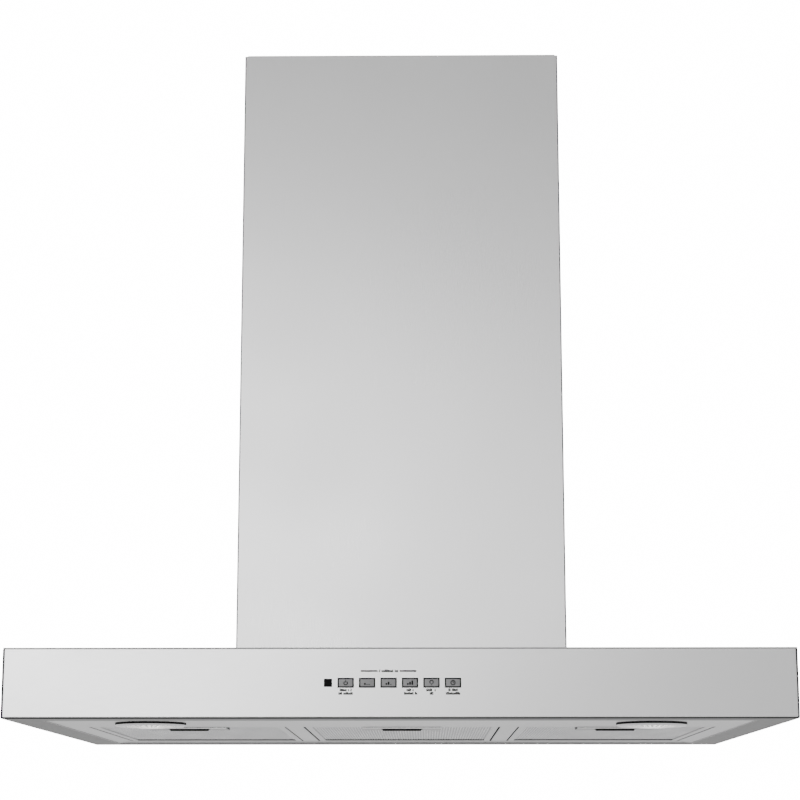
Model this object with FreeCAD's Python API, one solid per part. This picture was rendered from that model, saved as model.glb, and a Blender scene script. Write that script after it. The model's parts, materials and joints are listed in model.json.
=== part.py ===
import FreeCAD, Part
import math
import os

# Island range hood that hangs from the ceiling.
# Frame: the origin is the centre of the ceiling plate's top face, +Z is up,
# +X runs along the hood's width and -Y faces the control panel's side.
# Lengths are in millimetres.

Vector = FreeCAD.Vector
X_AXIS = Vector(1, 0, 0)
Y_AXIS = Vector(0, 1, 0)
Z_AXIS = Vector(0, 0, 1)

# ---------------------------------------------------------------- driving dimensions
CANOPY_WIDTH = 900.0
CANOPY_DEPTH = 700.0
CANOPY_HEIGHT = 80.0
TOTAL_HEIGHT = 862.0
COVER_WIDTH = 404.0
COVER_DEPTH = 330.0
SHEET = 1.0
BEND_RADIUS = 2.0

RIM_Z = -TOTAL_HEIGHT
TOP_Z = RIM_Z + CANOPY_HEIGHT
HALF_W = CANOPY_WIDTH / 2
HALF_D = CANOPY_DEPTH / 2

# underside: a flat rim flange, a sloping strip, then the flat panel
RIM_FLANGE = 42.0
TOP_LIP = 12.0
PANEL_LAP = 12.0
SLOPE_RUN = 16.0
PANEL_RISE = 3.0
AIR_HALF_X = 140.0
AIR_HALF_Y = 110.0
PANEL_Z = RIM_Z + PANEL_RISE
SLOPE_HALF_W = HALF_W - RIM_FLANGE
SLOPE_HALF_D = HALF_D - RIM_FLANGE

# grease filters
FILTER_COUNT = 3
FILTER_WIDTH = 240.0
FILTER_LENGTH = 386.0
FILTER_THICKNESS = 9.0
FILTER_PITCH = 266.0
FILTER_REAR_Y = 282.0
FILTER_FRONT_Y = FILTER_REAR_Y - FILTER_LENGTH
FILTER_RAIL = 8.0
FILTER_GAP = 2.0
MESH_THICKNESS = 4.0
MESH_Z = PANEL_Z + 1.5
LATCH_PLATE_WIDTH = 97.0
LATCH_PLATE_DEPTH = 46.0
LATCH_PLATE_SHEET = 1.8
LATCH_BOX_WALL = 1.2
LATCH_BOX_TOP = PANEL_Z + 8.6
LATCH_SHEET = 1.5
LATCH_Z = PANEL_Z + 4.6
POCKET_WIDTH = 51.0
POCKET_DEPTH = 25.0
POCKET_FRONT_Y = FILTER_FRONT_Y + 8.0
GRIP_Y = POCKET_FRONT_Y + 16.0
GRIP_WIDTH = 48.0
GRIP_SHEET = 2.0
GRIP_DROP = 0.6
SLIDER_WIDTH = 64.0
LATCH_END_GAP = 0.4
TONGUE_WIDTH = 24.0
RUN_GAP = 0.3

# lamps
LAMP_X = 299.0
LAMP_Y = -200.0
LAMP_RING_RADIUS = 42.0
LAMP_LENS_RADIUS = 30.5
LAMP_HOLE_RADIUS = 38.0

# controls
BUTTON_PITCH = 24.2
BUTTON_WIDTH = 18.0
BUTTON_HEIGHT = 10.6
BUTTON_CORNER = 1.2
BUTTON_GAP = 0.3
BUTTON_TRAVEL = 1.0
BUTTON_PROUD = 1.2
BUTTON_NAMES = ("power", "speed_low", "speed_medium", "speed_high", "lamp", "timer")
SENSOR_X = -80.5
SENSOR_SIZE = 9.2
SENSOR_CORNER = 0.5
SENSOR_DEPTH = 5.0
SENSOR_PROUD = 0.3
BUTTON_FLANGE = 1.2
PLUNGER_RADIUS = 2.0
PLUNGER_LENGTH = 4.8
CONTROL_Z = RIM_Z + CANOPY_HEIGHT / 2
CONTROL_BOX_DEPTH = 24.0
CONTROL_BOX_LOW_X = -98.0
CONTROL_BOX_HIGH_X = 82.0
CONTROL_BOX_HALF_Z = 19.0
BOARD_Y = -HALF_D + 9.5

# hanging frame
LEG_SHEET = 2.0
LOWER_LEG = 30.0
UPPER_LEG = 26.0
LEG_HALF_W = 190.0
LEG_HALF_D = 153.0
LEG_GAP = 0.4
LOWER_FRAME_TOP = -130.0
BASE_INNER_HALF_X = 169.0
BASE_INNER_HALF_Y = 139.0
BAND_HEIGHT = 24.0
RAIL_HEIGHT = 25.0
UPPER_FRAME_END = -540.0
MAST_TRAVEL = 300.0
BOLT_RADIUS = 3.0
BOLT_ROWS = (-470.0, -520.0)
PLATE_SHEET = 3.0
CEILING_HOLE_RADIUS = 4.5
CEILING_HOLE_X = 150.0
CEILING_HOLE_Y = 120.0
CEILING_OPENING_HALF_X = 135.0
CEILING_OPENING_HALF_Y = 95.0
UPPER_COVER_INSET = 3.0
UPPER_COVER_LENGTH = 460.0
SEAM_LAP = 12.0
LOWER_SCREW_Z = (-740.0, -400.0, -60.0)
UPPER_SCREW_Z = -12.0

# blower
BOX_HALF_X = 156.0
BOX_HALF_Y = 126.0
BOX_TOP = -452.0
FAN_X = -30.0
FAN_Z = -640.0
WHEEL_RADIUS = 80.0
WHEEL_INNER = 66.0
WHEEL_HALF = 60.0
BLADE_COUNT = 30
SCROLL_HALF = 70.0
SCROLL_START = 88.0
SCROLL_END = 130.0
INLET_RADIUS = 68.0
THROAT_HALF = 68.0
SHAFT_RADIUS = 4.0
SHAFT_CLEARANCE = 0.05
MOTOR_RADIUS = 42.0
COLLAR_RADIUS = 75.0
COLLAR_HEIGHT = 60.0
FLAP_Z = BOX_TOP + 32.0
FLAP_RADIUS = 73.0
PIN_RADIUS = 2.0
PIN_CLEARANCE = 0.06
KNUCKLE_RADIUS = 3.6
MOTOR_FRONT = 14.0
MOTOR_REAR = SCROLL_HALF + SHEET

# wiring
JUNCTION_LOW_X = 92.0
JUNCTION_HIGH_X = 150.0
JUNCTION_HALF_Y = 50.0
JUNCTION_HEIGHT = 38.0
GLAND_BORE = 5.5
GLAND_LENGTH = 16.0
JUNCTION_WALL = 1.5


# ---------------------------------------------------------------- helpers
def block(x0, x1, y0, y1, z0, z1):
    """Box between two corners."""
    return Part.makeBox(x1 - x0, y1 - y0, z1 - z0, Vector(x0, y0, z0))


def slab(half_x, half_y, z0, z1):
    """Box centred on the Z axis."""
    return block(-half_x, half_x, -half_y, half_y, z0, z1)


def rod(radius, length, base, axis=Z_AXIS):
    """Solid cylinder from base along axis."""
    return Part.makeCylinder(radius, length, base, axis)


def pipe(outer, inner, length, base, axis=Z_AXIS):
    """Tube from base along axis."""
    return rod(outer, length, base, axis).cut(rod(inner, length, base, axis))


def moved(shape, x, y, z):
    """Copy of the shape, shifted."""
    copy = shape.copy()
    copy.translate(Vector(x, y, z))
    return copy


def mirrored_x(shape):
    """Copy of the shape on the other side of the YZ plane."""
    return shape.mirror(Vector(0, 0, 0), X_AXIS)


def four_corners(shape):
    """The shape and its copies mirrored to the other three corners."""
    pair = [shape, mirrored_x(shape)]
    return pair + [item.mirror(Vector(0, 0, 0), Y_AXIS) for item in pair]


def join(shapes):
    """One solid from touching or overlapping shapes."""
    return shapes[0].multiFuse(shapes[1:]).removeSplitter()


def vertical_edges(shape, radius, x_limit, y_limit):
    """Round the upright edges that lie at the given outer corner."""
    edges = []
    for edge in shape.Edges:
        box = edge.BoundBox
        upright = box.ZLength > SHEET and box.XLength < 0.01 and box.YLength < 0.01
        if upright and abs(abs(box.XMin) - x_limit) < 0.01 and abs(abs(box.YMin) - y_limit) < 0.01:
            edges.append(edge)
    return shape.makeFillet(radius, edges)


def rounded_block(width, depth, height, radius, centre):
    """Box with its Y-directed edges rounded; centre is the middle of its front face."""
    shape = Part.makeBox(width, depth, height, Vector(-width / 2, 0, -height / 2))
    edges = [edge for edge in shape.Edges if edge.BoundBox.YLength > depth - 0.01]
    return moved(shape.makeFillet(radius, edges), centre.x, centre.y, centre.z)


def revolved(points):
    """Ring turned about the Z axis from (radius, height) points."""
    corners = [Vector(radius, 0, height) for radius, height in points]
    face = Part.Face(Part.makePolygon(corners + corners[:1]))
    return face.revolve(Vector(0, 0, 0), Z_AXIS, 360)


def save(name, shape):
    """Write one named piece."""
    if shape.ShapeType == "Compound" and len(shape.Solids) == 1:
        shape = shape.Solids[0]
    shape.exportStep(os.path.join("parts", name + ".step"))
    print(name, len(shape.Solids), "solids", round(shape.Volume / 1000.0, 1), "cm3", shape.isValid())


# ---------------------------------------------------------------- canopy
def button_x(index):
    """Centre of one button along the row."""
    return (index - (len(BUTTON_NAMES) - 1) / 2) * BUTTON_PITCH


def canopy_shell():
    """Four walls with the rim flange turned inwards at the bottom and a lip at the top."""
    outer = vertical_edges(slab(HALF_W, HALF_D, RIM_Z, TOP_Z - SHEET), BEND_RADIUS, HALF_W, HALF_D)
    inner = slab(HALF_W - SHEET, HALF_D - SHEET, RIM_Z + SHEET, TOP_Z - 2 * SHEET)
    shell = outer.cut(inner)
    shell = shell.cut(slab(SLOPE_HALF_W, SLOPE_HALF_D, RIM_Z - SHEET, RIM_Z + 2 * SHEET))
    shell = shell.cut(slab(HALF_W - TOP_LIP, HALF_D - TOP_LIP, TOP_Z - 3 * SHEET, TOP_Z))
    depth = 6 * SHEET
    for index in range(len(BUTTON_NAMES)):
        centre = Vector(button_x(index), -HALF_D - SHEET, CONTROL_Z)
        width = BUTTON_WIDTH + 2 * BUTTON_GAP
        height = BUTTON_HEIGHT + 2 * BUTTON_GAP
        shell = shell.cut(rounded_block(width, depth, height, BUTTON_CORNER, centre))
    centre = Vector(SENSOR_X, -HALF_D - SHEET, CONTROL_Z)
    return shell.cut(rounded_block(SENSOR_SIZE, depth, SENSOR_SIZE, SENSOR_CORNER, centre))


def canopy_top():
    """Top sheet with the air opening into the blower box."""
    inset = 0.5
    sheet = slab(HALF_W - inset, HALF_D - inset, TOP_Z - SHEET, TOP_Z)
    return sheet.cut(slab(AIR_HALF_X, AIR_HALF_Y, TOP_Z - 2 * SHEET, TOP_Z + SHEET))


def bottom_panel():
    """Inner panel: lap on the rim flange, sloping strip, flat field with its cut-outs."""
    base_z = RIM_Z + SHEET
    lap = slab(SLOPE_HALF_W + PANEL_LAP, SLOPE_HALF_D + PANEL_LAP, base_z, base_z + SHEET)
    raised = slope_frustum(base_z + SHEET)
    panel = lap.fuse(raised).cut(slope_frustum(base_z))
    for index in range(FILTER_COUNT):
        x = filter_x(index)
        half = FILTER_WIDTH / 2 + FILTER_GAP
        front = FILTER_FRONT_Y - FILTER_GAP
        rear = FILTER_REAR_Y + FILTER_GAP
        panel = panel.cut(block(x - half, x + half, front, rear, RIM_Z, RIM_Z + 20))
    for side in (-1, 1):
        panel = panel.cut(rod(LAMP_HOLE_RADIUS, 20, Vector(side * LAMP_X, LAMP_Y, RIM_Z)))
    return panel


def slope_frustum(z):
    """Solid between the strip's outer outline at z and its inner outline above it."""
    rise = PANEL_RISE - SHEET
    outlines = []
    for inset, height in ((0.0, z), (SLOPE_RUN, z + rise)):
        half_x = SLOPE_HALF_W - inset
        half_y = SLOPE_HALF_D - inset
        corners = [(-half_x, -half_y), (half_x, -half_y), (half_x, half_y), (-half_x, half_y)]
        points = [Vector(x, y, height) for x, y in corners]
        outlines.append(Part.makePolygon(points + points[:1]))
    return Part.makeLoft(outlines, True, True)


# ---------------------------------------------------------------- grease filters
def filter_x(index):
    """Centre of one filter across the hood."""
    return (index - (FILTER_COUNT - 1) / 2) * FILTER_PITCH


def filter_frame(x):
    """Channel frame with two rear tabs that ride over the panel's rear edge."""
    half = FILTER_WIDTH / 2
    frame = block(x - half, x + half, FILTER_FRONT_Y, FILTER_REAR_Y, PANEL_Z, PANEL_Z + FILTER_THICKNESS)
    frame = frame.cut(
        block(
            x - half + FILTER_RAIL,
            x + half - FILTER_RAIL,
            FILTER_FRONT_Y + FILTER_RAIL,
            FILTER_REAR_Y - FILTER_RAIL,
            PANEL_Z - 1,
            PANEL_Z + FILTER_THICKNESS + 1,
        )
    )
    groove = FILTER_RAIL - 1.2
    frame = frame.cut(
        block(
            x - half + groove - 4,
            x + half - groove + 4,
            FILTER_FRONT_Y + groove - 4,
            FILTER_REAR_Y - groove + 4,
            MESH_Z,
            MESH_Z + MESH_THICKNESS,
        )
    )
    tab_length = 8.0
    tab_half = 15.0
    tab_low = PANEL_Z + SHEET + RUN_GAP
    for side in (-1, 1):
        centre = x + side * FILTER_WIDTH / 4
        tab = block(
            centre - tab_half,
            centre + tab_half,
            FILTER_REAR_Y - 1,
            FILTER_REAR_Y + tab_length,
            tab_low,
            tab_low + 1.2,
        )
        frame = frame.fuse(tab)
    tongue_half = TONGUE_WIDTH / 2 + RUN_GAP
    slot = block(
        x - tongue_half,
        x + tongue_half,
        FILTER_FRONT_Y - 1,
        FILTER_FRONT_Y + FILTER_RAIL + 1,
        LATCH_Z - RUN_GAP,
        LATCH_Z + LATCH_SHEET + RUN_GAP,
    )
    box_half = LATCH_PLATE_WIDTH / 2
    seat = block(
        x - box_half,
        x + box_half,
        FILTER_FRONT_Y + 4,
        FILTER_FRONT_Y + FILTER_RAIL + 1,
        PANEL_Z - 1,
        PANEL_Z + FILTER_THICKNESS + 1,
    )
    return frame.cut(slot).cut(seat).removeSplitter()


def filter_mesh(x):
    """Grease mesh pad, cut out around the latch box."""
    half = FILTER_WIDTH / 2 - FILTER_RAIL + 3
    front = FILTER_FRONT_Y + FILTER_RAIL - 3
    rear = FILTER_REAR_Y - FILTER_RAIL + 3
    mesh = block(x - half, x + half, front, rear, MESH_Z, MESH_Z + MESH_THICKNESS)
    notch_half = LATCH_PLATE_WIDTH / 2
    notch_rear = FILTER_FRONT_Y + LATCH_PLATE_DEPTH
    notch = block(x - notch_half, x + notch_half, front - 1, notch_rear, MESH_Z - 1, MESH_Z + 20)
    return mesh.cut(notch)


def latch_plate(x):
    """Plate with the finger pocket, backed by a box that houses the latch and its spring."""
    half = LATCH_PLATE_WIDTH / 2
    rear = FILTER_FRONT_Y + LATCH_PLATE_DEPTH
    plate = block(x - half, x + half, FILTER_FRONT_Y, rear, PANEL_Z - LATCH_PLATE_SHEET, PANEL_Z)
    front = FILTER_FRONT_Y + 4
    housing = block(x - half, x + half, front, rear, PANEL_Z, LATCH_BOX_TOP)
    wall = LATCH_BOX_WALL
    inner = half - wall
    ceiling = LATCH_BOX_TOP - wall
    hollow = block(x - inner, x + inner, front + wall, rear - wall, PANEL_Z - 1, ceiling)
    pocket = block(
        x - POCKET_WIDTH / 2,
        x + POCKET_WIDTH / 2,
        POCKET_FRONT_Y,
        POCKET_FRONT_Y + POCKET_DEPTH,
        PANEL_Z - 5,
        PANEL_Z + 1,
    )
    tongue_half = TONGUE_WIDTH / 2 + RUN_GAP
    slot = block(
        x - tongue_half,
        x + tongue_half,
        front - 1,
        front + wall + 1,
        LATCH_Z - RUN_GAP,
        LATCH_Z + LATCH_SHEET + RUN_GAP,
    )
    shell = housing.cut(hollow.cut(block(x - half, x + half, front, rear, PANEL_Z - 2, PANEL_Z)))
    return shell.fuse(plate).cut(pocket).cut(slot).removeSplitter()


def latch_slider(x):
    """Sprung slide: flat body, tongue through the frame, finger grip turned down."""
    half = SLIDER_WIDTH / 2
    body_front = FILTER_FRONT_Y + 4 + LATCH_BOX_WALL + RUN_GAP
    grip_rear = GRIP_Y + GRIP_SHEET
    body = block(x - half, x + half, body_front, grip_rear, LATCH_Z, LATCH_Z + LATCH_SHEET)
    tongue_end = FILTER_FRONT_Y - FILTER_GAP + LATCH_END_GAP
    tongue = block(
        x - TONGUE_WIDTH / 2, x + TONGUE_WIDTH / 2, tongue_end, body_front, LATCH_Z, LATCH_Z + LATCH_SHEET
    )
    grip_half = GRIP_WIDTH / 2
    grip = block(x - grip_half, x + grip_half, GRIP_Y, grip_rear, RIM_Z - GRIP_DROP, LATCH_Z)
    return join([body, tongue, grip])


def latch_spring(x):
    """Small compression spring between the slide and the rear wall of its box."""
    start = GRIP_Y + GRIP_SHEET
    end = FILTER_FRONT_Y + LATCH_PLATE_DEPTH - LATCH_BOX_WALL
    turns = 6
    wire = 0.35
    coil = 1.5
    length = end - start - 2 * wire
    helix = Part.makeHelix(length / turns, length, coil)
    profile = Part.Wire(Part.makeCircle(wire, Vector(coil, 0, 0), Y_AXIS))
    spring = Part.Wire(helix.Edges).makePipeShell([profile], True, True)
    spring.rotate(Vector(0, 0, 0), X_AXIS, -90)
    spring.translate(Vector(x, start + wire, LATCH_Z + LATCH_SHEET / 2))
    return spring


# ---------------------------------------------------------------- lamps
def lamp_ring(x):
    """Bevelled trim ring with a neck that passes up through the panel."""
    ring = revolved(
        (
            (LAMP_LENS_RADIUS + 0.5, -4.5),
            (LAMP_RING_RADIUS - 5, -4.5),
            (LAMP_RING_RADIUS, -1.5),
            (LAMP_RING_RADIUS, 0.0),
            (LAMP_HOLE_RADIUS - RUN_GAP, 0.0),
            (LAMP_HOLE_RADIUS - RUN_GAP, 10.0),
            (LAMP_HOLE_RADIUS - 2, 10.0),
            (LAMP_HOLE_RADIUS - 2, 0.0),
            (LAMP_LENS_RADIUS + 0.5, 0.0),
        )
    )
    return moved(ring, x, LAMP_Y, PANEL_Z)


def lamp_lens(x):
    """Glass lens, slightly domed below the ring."""
    lens = revolved(
        (
            (0.0, -6.5),
            (LAMP_LENS_RADIUS * 0.6, -6.0),
            (LAMP_LENS_RADIUS, -4.0),
            (LAMP_LENS_RADIUS, 0.0),
            (LAMP_LENS_RADIUS + 3, 0.0),
            (LAMP_LENS_RADIUS + 3, 1.5),
            (0.0, 1.5),
        )
    )
    return moved(lens, x, LAMP_Y, PANEL_Z)


def lamp_reflector(x):
    """Bowl above the lens, with a flat lip on it and a neck for the socket."""
    bowl = revolved(
        (
            (LAMP_LENS_RADIUS + 3, 1.5),
            (LAMP_LENS_RADIUS + 3, 2.5),
            (24.0, 14.0),
            (12.0, 22.0),
            (12.0, 30.0),
            (11.0, 30.0),
            (11.0, 21.4),
            (23.2, 13.2),
            (LAMP_LENS_RADIUS, 1.5),
        )
    )
    return moved(bowl, x, LAMP_Y, PANEL_Z)


def lamp_bulb(x):
    """Halogen capsule standing in its ceramic socket."""
    base = Vector(x, LAMP_Y, PANEL_Z + 20)
    socket = rod(10.6, 20, base)
    capsule = rod(4.5, 9, base - Vector(0, 0, 9))
    tip = Part.makeSphere(4.5, base - Vector(0, 0, 9))
    return join([socket, capsule, tip])


# ---------------------------------------------------------------- controls
def button(index):
    """Push button with a retaining flange behind the wall and a plunger on its switch."""
    front = Vector(button_x(index), -HALF_D - BUTTON_PROUD, CONTROL_Z)
    cap = rounded_block(BUTTON_WIDTH, BUTTON_PROUD + 4, BUTTON_HEIGHT, BUTTON_CORNER, front)
    flange_y = -HALF_D + SHEET + 0.1
    flange = Vector(front.x, flange_y, CONTROL_Z)
    wider = 2 * BUTTON_FLANGE
    stop_width = BUTTON_WIDTH + wider
    stop_height = BUTTON_HEIGHT + wider
    stop = rounded_block(stop_width, BUTTON_FLANGE, stop_height, BUTTON_CORNER, flange)
    plunger = rod(PLUNGER_RADIUS, PLUNGER_LENGTH, Vector(front.x, flange_y, CONTROL_Z), Y_AXIS)
    return join([cap, stop, plunger])


def sensor_window():
    """Dark square window of the remote receiver, a little proud of the wall."""
    front = Vector(SENSOR_X, -HALF_D - SENSOR_PROUD, CONTROL_Z)
    return rounded_block(SENSOR_SIZE, SENSOR_DEPTH, SENSOR_SIZE, SENSOR_CORNER, front)


def control_housing():
    """Tray behind the front wall that carries the board."""
    front = -HALF_D + SHEET
    low = CONTROL_Z - CONTROL_BOX_HALF_Z
    high = CONTROL_Z + CONTROL_BOX_HALF_Z
    rear = front + CONTROL_BOX_DEPTH
    wall = 1.6
    tray = block(CONTROL_BOX_LOW_X, CONTROL_BOX_HIGH_X, front, rear, low, high)
    hollow = block(
        CONTROL_BOX_LOW_X + wall, CONTROL_BOX_HIGH_X - wall, front - 1, rear - wall, low + wall, high - wall
    )
    tray = tray.cut(hollow)
    ledges = []
    for z in (low + wall, high - wall - 3):
        ledges.append(
            block(CONTROL_BOX_LOW_X + wall, CONTROL_BOX_HIGH_X - wall, BOARD_Y + 1.6, rear - wall, z, z + 3)
        )
    return join([tray] + ledges)


def control_board():
    """Circuit board with one push switch behind each button, a chip and a connector."""
    wall = 1.6
    half_z = CONTROL_BOX_HALF_Z - wall - 0.4
    board = block(
        CONTROL_BOX_LOW_X + wall + 0.4,
        CONTROL_BOX_HIGH_X - wall - 0.4,
        BOARD_Y,
        BOARD_Y + 1.6,
        CONTROL_Z - half_z,
        CONTROL_Z + half_z,
    )
    pieces = [board]
    switch_depth = BOARD_Y - (-HALF_D + SHEET + 0.1 + 4.8 + BUTTON_TRAVEL + 0.1)
    for index in range(len(BUTTON_NAMES)):
        x = button_x(index)
        pieces.append(block(x - 3, x + 3, BOARD_Y - switch_depth, BOARD_Y, CONTROL_Z - 3, CONTROL_Z + 3))
    pieces.append(block(-60, -44, BOARD_Y + 1.6, BOARD_Y + 4, CONTROL_Z - 8, CONTROL_Z + 8))
    pieces.append(block(40, 62, BOARD_Y + 1.6, BOARD_Y + 9, CONTROL_Z - 5, CONTROL_Z + 5))
    return join(pieces)


# ---------------------------------------------------------------- hanging frame
def angle_leg(outer_x, outer_y, width, z0, z1):
    """Angle-section leg with its outer corner at (outer_x, outer_y)."""
    leg = block(outer_x - width, outer_x, outer_y - width, outer_y, z0, z1)
    inside = block(
        outer_x - width - 1, outer_x - LEG_SHEET, outer_y - width - 1, outer_y - LEG_SHEET, z0 - 1, z1 + 1
    )
    return leg.cut(inside)


def lower_frame():
    """Base ring on the canopy, four slotted angle legs and the band round their tops."""
    leg = angle_leg(LEG_HALF_W, LEG_HALF_D, LOWER_LEG, TOP_Z, LOWER_FRAME_TOP)
    slot_y = LEG_HALF_D - LOWER_LEG / 2
    slot_half = BOLT_RADIUS + 0.4
    low = min(BOLT_ROWS) - 8
    high = max(BOLT_ROWS) + MAST_TRAVEL + 8
    slot = block(LEG_HALF_W - 5, LEG_HALF_W + 1, slot_y - slot_half, slot_y + slot_half, low, high)
    legs = four_corners(leg.cut(slot))
    inside = slab(BASE_INNER_HALF_X, BASE_INNER_HALF_Y, TOP_Z - 1, TOP_Z + LEG_SHEET + 1)
    base = slab(LEG_HALF_W, LEG_HALF_D, TOP_Z, TOP_Z + LEG_SHEET).cut(inside)
    band_z = LOWER_FRAME_TOP - BAND_HEIGHT
    band = slab(LEG_HALF_W + 2, LEG_HALF_D + 2, band_z, LOWER_FRAME_TOP)
    band = band.cut(slab(LEG_HALF_W, LEG_HALF_D, band_z - 1, LOWER_FRAME_TOP + 1))
    return join([base, band] + legs)


def upper_frame():
    """Four angle legs that hang from the ceiling plate inside the lower legs."""
    outer_x = LEG_HALF_W - LEG_SHEET - LEG_GAP
    outer_y = LEG_HALF_D - LEG_SHEET - LEG_GAP
    leg = angle_leg(outer_x, outer_y, UPPER_LEG, UPPER_FRAME_END, -PLATE_SHEET)
    slot_y = LEG_HALF_D - LOWER_LEG / 2
    for z in BOLT_ROWS:
        leg = leg.cut(rod(BOLT_RADIUS + 0.2, 20, Vector(outer_x - 10, slot_y, z), X_AXIS))
    rail_z = -PLATE_SHEET - RAIL_HEIGHT
    rail = slab(outer_x, outer_y, rail_z, -PLATE_SHEET)
    rail = rail.cut(slab(outer_x - LEG_SHEET, outer_y - LEG_SHEET, rail_z - 1, 0))
    return join([rail] + four_corners(leg))


def ceiling_plate():
    """Plate against the ceiling: duct opening, four bolt holes and a turned-down edge."""
    half_x = COVER_WIDTH / 2 - UPPER_COVER_INSET - SHEET - 1.5
    half_y = COVER_DEPTH / 2 - UPPER_COVER_INSET - SHEET - 1.5
    plate = slab(half_x, half_y, -PLATE_SHEET, 0)
    edge = slab(half_x, half_y, -20, -PLATE_SHEET).cut(slab(half_x - 2, half_y - 2, -21, 0))
    plate = plate.fuse(edge)
    opening = slab(CEILING_OPENING_HALF_X, CEILING_OPENING_HALF_Y, -PLATE_SHEET - 1, 1)
    upright = [item for item in opening.Edges if item.BoundBox.ZLength > PLATE_SHEET]
    plate = plate.cut(opening.makeFillet(20, upright))
    for x in (-CEILING_HOLE_X, CEILING_HOLE_X):
        for y in (-CEILING_HOLE_Y, CEILING_HOLE_Y):
            plate = plate.cut(rod(CEILING_HOLE_RADIUS, 10, Vector(x, y, -8)))
    for x, y in upper_screw_places():
        plate = plate.cut(rod(1.7, 12, Vector(x - 6, y, UPPER_SCREW_Z), X_AXIS))
    return plate.removeSplitter()


def hexagon(across_flats, height, base, axis):
    """Hexagonal prism from base along axis."""
    radius = across_flats / math.sqrt(3)
    points = []
    for corner in range(7):
        angle = math.radians(60 * corner)
        points.append(Vector(0, radius * math.cos(angle), radius * math.sin(angle)))
    prism = Part.Face(Part.makePolygon(points)).extrude(X_AXIS * height * axis)
    return moved(prism, base.x, base.y, base.z)


def frame_bolts():
    """Eight bolts and nuts that clamp the upper legs in the lower legs' slots."""
    bolts = []
    slot_y = LEG_HALF_D - LOWER_LEG / 2
    head_x = LEG_HALF_W + RUN_GAP
    face_x = LEG_HALF_W - 2 * LEG_SHEET - LEG_GAP
    for z in BOLT_ROWS:
        head = rod(5.5, 3.6, Vector(head_x, slot_y, z), X_AXIS)
        shank = rod(BOLT_RADIUS, 16, Vector(head_x - 16, slot_y, z), X_AXIS)
        nut = hexagon(10, 5, Vector(face_x, slot_y, z), -1)
        nut = nut.cut(rod(BOLT_RADIUS, 20, Vector(face_x - 10, slot_y, z), X_AXIS))
        bolts += four_corners(join([head, shank])) + four_corners(nut)
    return Part.makeCompound(bolts)


# ---------------------------------------------------------------- duct covers
def cover_half(half_x, half_y, z0, z1, front):
    """One U-shaped half of a duct cover; the rear half carries the lap of the seam."""
    outer = vertical_edges(slab(half_x, half_y, z0, z1), BEND_RADIUS, half_x, half_y)
    shell = outer.cut(slab(half_x - SHEET, half_y - SHEET, z0 - 1, z1 + 1))
    if front:
        return shell.cut(block(-half_x - 1, half_x + 1, 0, half_y + 1, z0 - 1, z1 + 1))
    shell = shell.cut(block(-half_x - 1, half_x + 1, -half_y - 1, 0.2, z0 - 1, z1 + 1))
    inner = half_x - SHEET
    laps = []
    for side in (-1, 1):
        low = min(side * inner, side * (inner - SHEET))
        laps.append(block(low, low + SHEET, -SEAM_LAP, SEAM_LAP, z0, z1))
        low = min(side * (inner - SHEET), side * half_x)
        laps.append(block(low, low + 2 * SHEET, 0.2, SEAM_LAP, z0, z1))
    return join([shell] + laps)


def lower_screw_places():
    """Sides and heights of the lower cover's seam screws."""
    return [(side, z) for side in (-1, 1) for z in LOWER_SCREW_Z]


def lower_cover(front):
    """Half of the lower duct cover, fixed to the canopy."""
    shell = cover_half(COVER_WIDTH / 2, COVER_DEPTH / 2, TOP_Z, -3.0, front)
    for side, z in lower_screw_places():
        start = Vector(side * COVER_WIDTH / 2 - 5, -SEAM_LAP / 2, z)
        shell = shell.cut(rod(1.7, 10, start, X_AXIS))
    return shell


def hood_screws():
    """Pan-head screws along the lower cover's side seams and round the blower box's foot."""
    screws = []
    for side, z in lower_screw_places():
        direction = Vector(-side, 0, 0)
        face = Vector(side * COVER_WIDTH / 2, -SEAM_LAP / 2, z)
        head = rod(3.6, 1.6, face + Vector(side * 1.6, 0, 0), direction)
        shank = rod(1.7, 2 * SHEET - 0.1, face, direction)
        screws.append(join([head, shank]))
    for x, y in flange_screw_places():
        head = rod(3.4, 2.2, Vector(x, y, TOP_Z + SHEET))
        shank = rod(1.7, SHEET, Vector(x, y, TOP_Z))
        screws.append(join([head, shank]))
    return Part.makeCompound(screws)


def upper_screw_places():
    """Places where the upper cover is screwed to the ceiling plate's edge."""
    x = COVER_WIDTH / 2 - UPPER_COVER_INSET - SHEET - 1.5
    return [(side * x, y) for side in (-1, 1) for y in (-90.0, 90.0)]


def upper_cover(front):
    """Half of the upper duct cover, nested in the lower cover."""
    half_x = COVER_WIDTH / 2 - UPPER_COVER_INSET
    half_y = COVER_DEPTH / 2 - UPPER_COVER_INSET
    shell = cover_half(half_x, half_y, -UPPER_COVER_LENGTH, -1.0, front)
    for x, y in upper_screw_places():
        shell = shell.cut(rod(3.6, 12, Vector(x - 6, y, UPPER_SCREW_Z), X_AXIS))
    return shell


def upper_cover_screws():
    """Flush screws that hold the upper cover to the ceiling plate's edge."""
    screws = []
    for x, y in upper_screw_places():
        side = 1 if x > 0 else -1
        outer = side * (COVER_WIDTH / 2 - UPPER_COVER_INSET)
        start = Vector(outer, y, UPPER_SCREW_Z)
        direction = Vector(-side, 0, 0)
        screws.append(join([rod(3.5, 2.4, start, direction), rod(1.6, 8, start, direction)]))
    return Part.makeCompound(screws)


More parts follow.
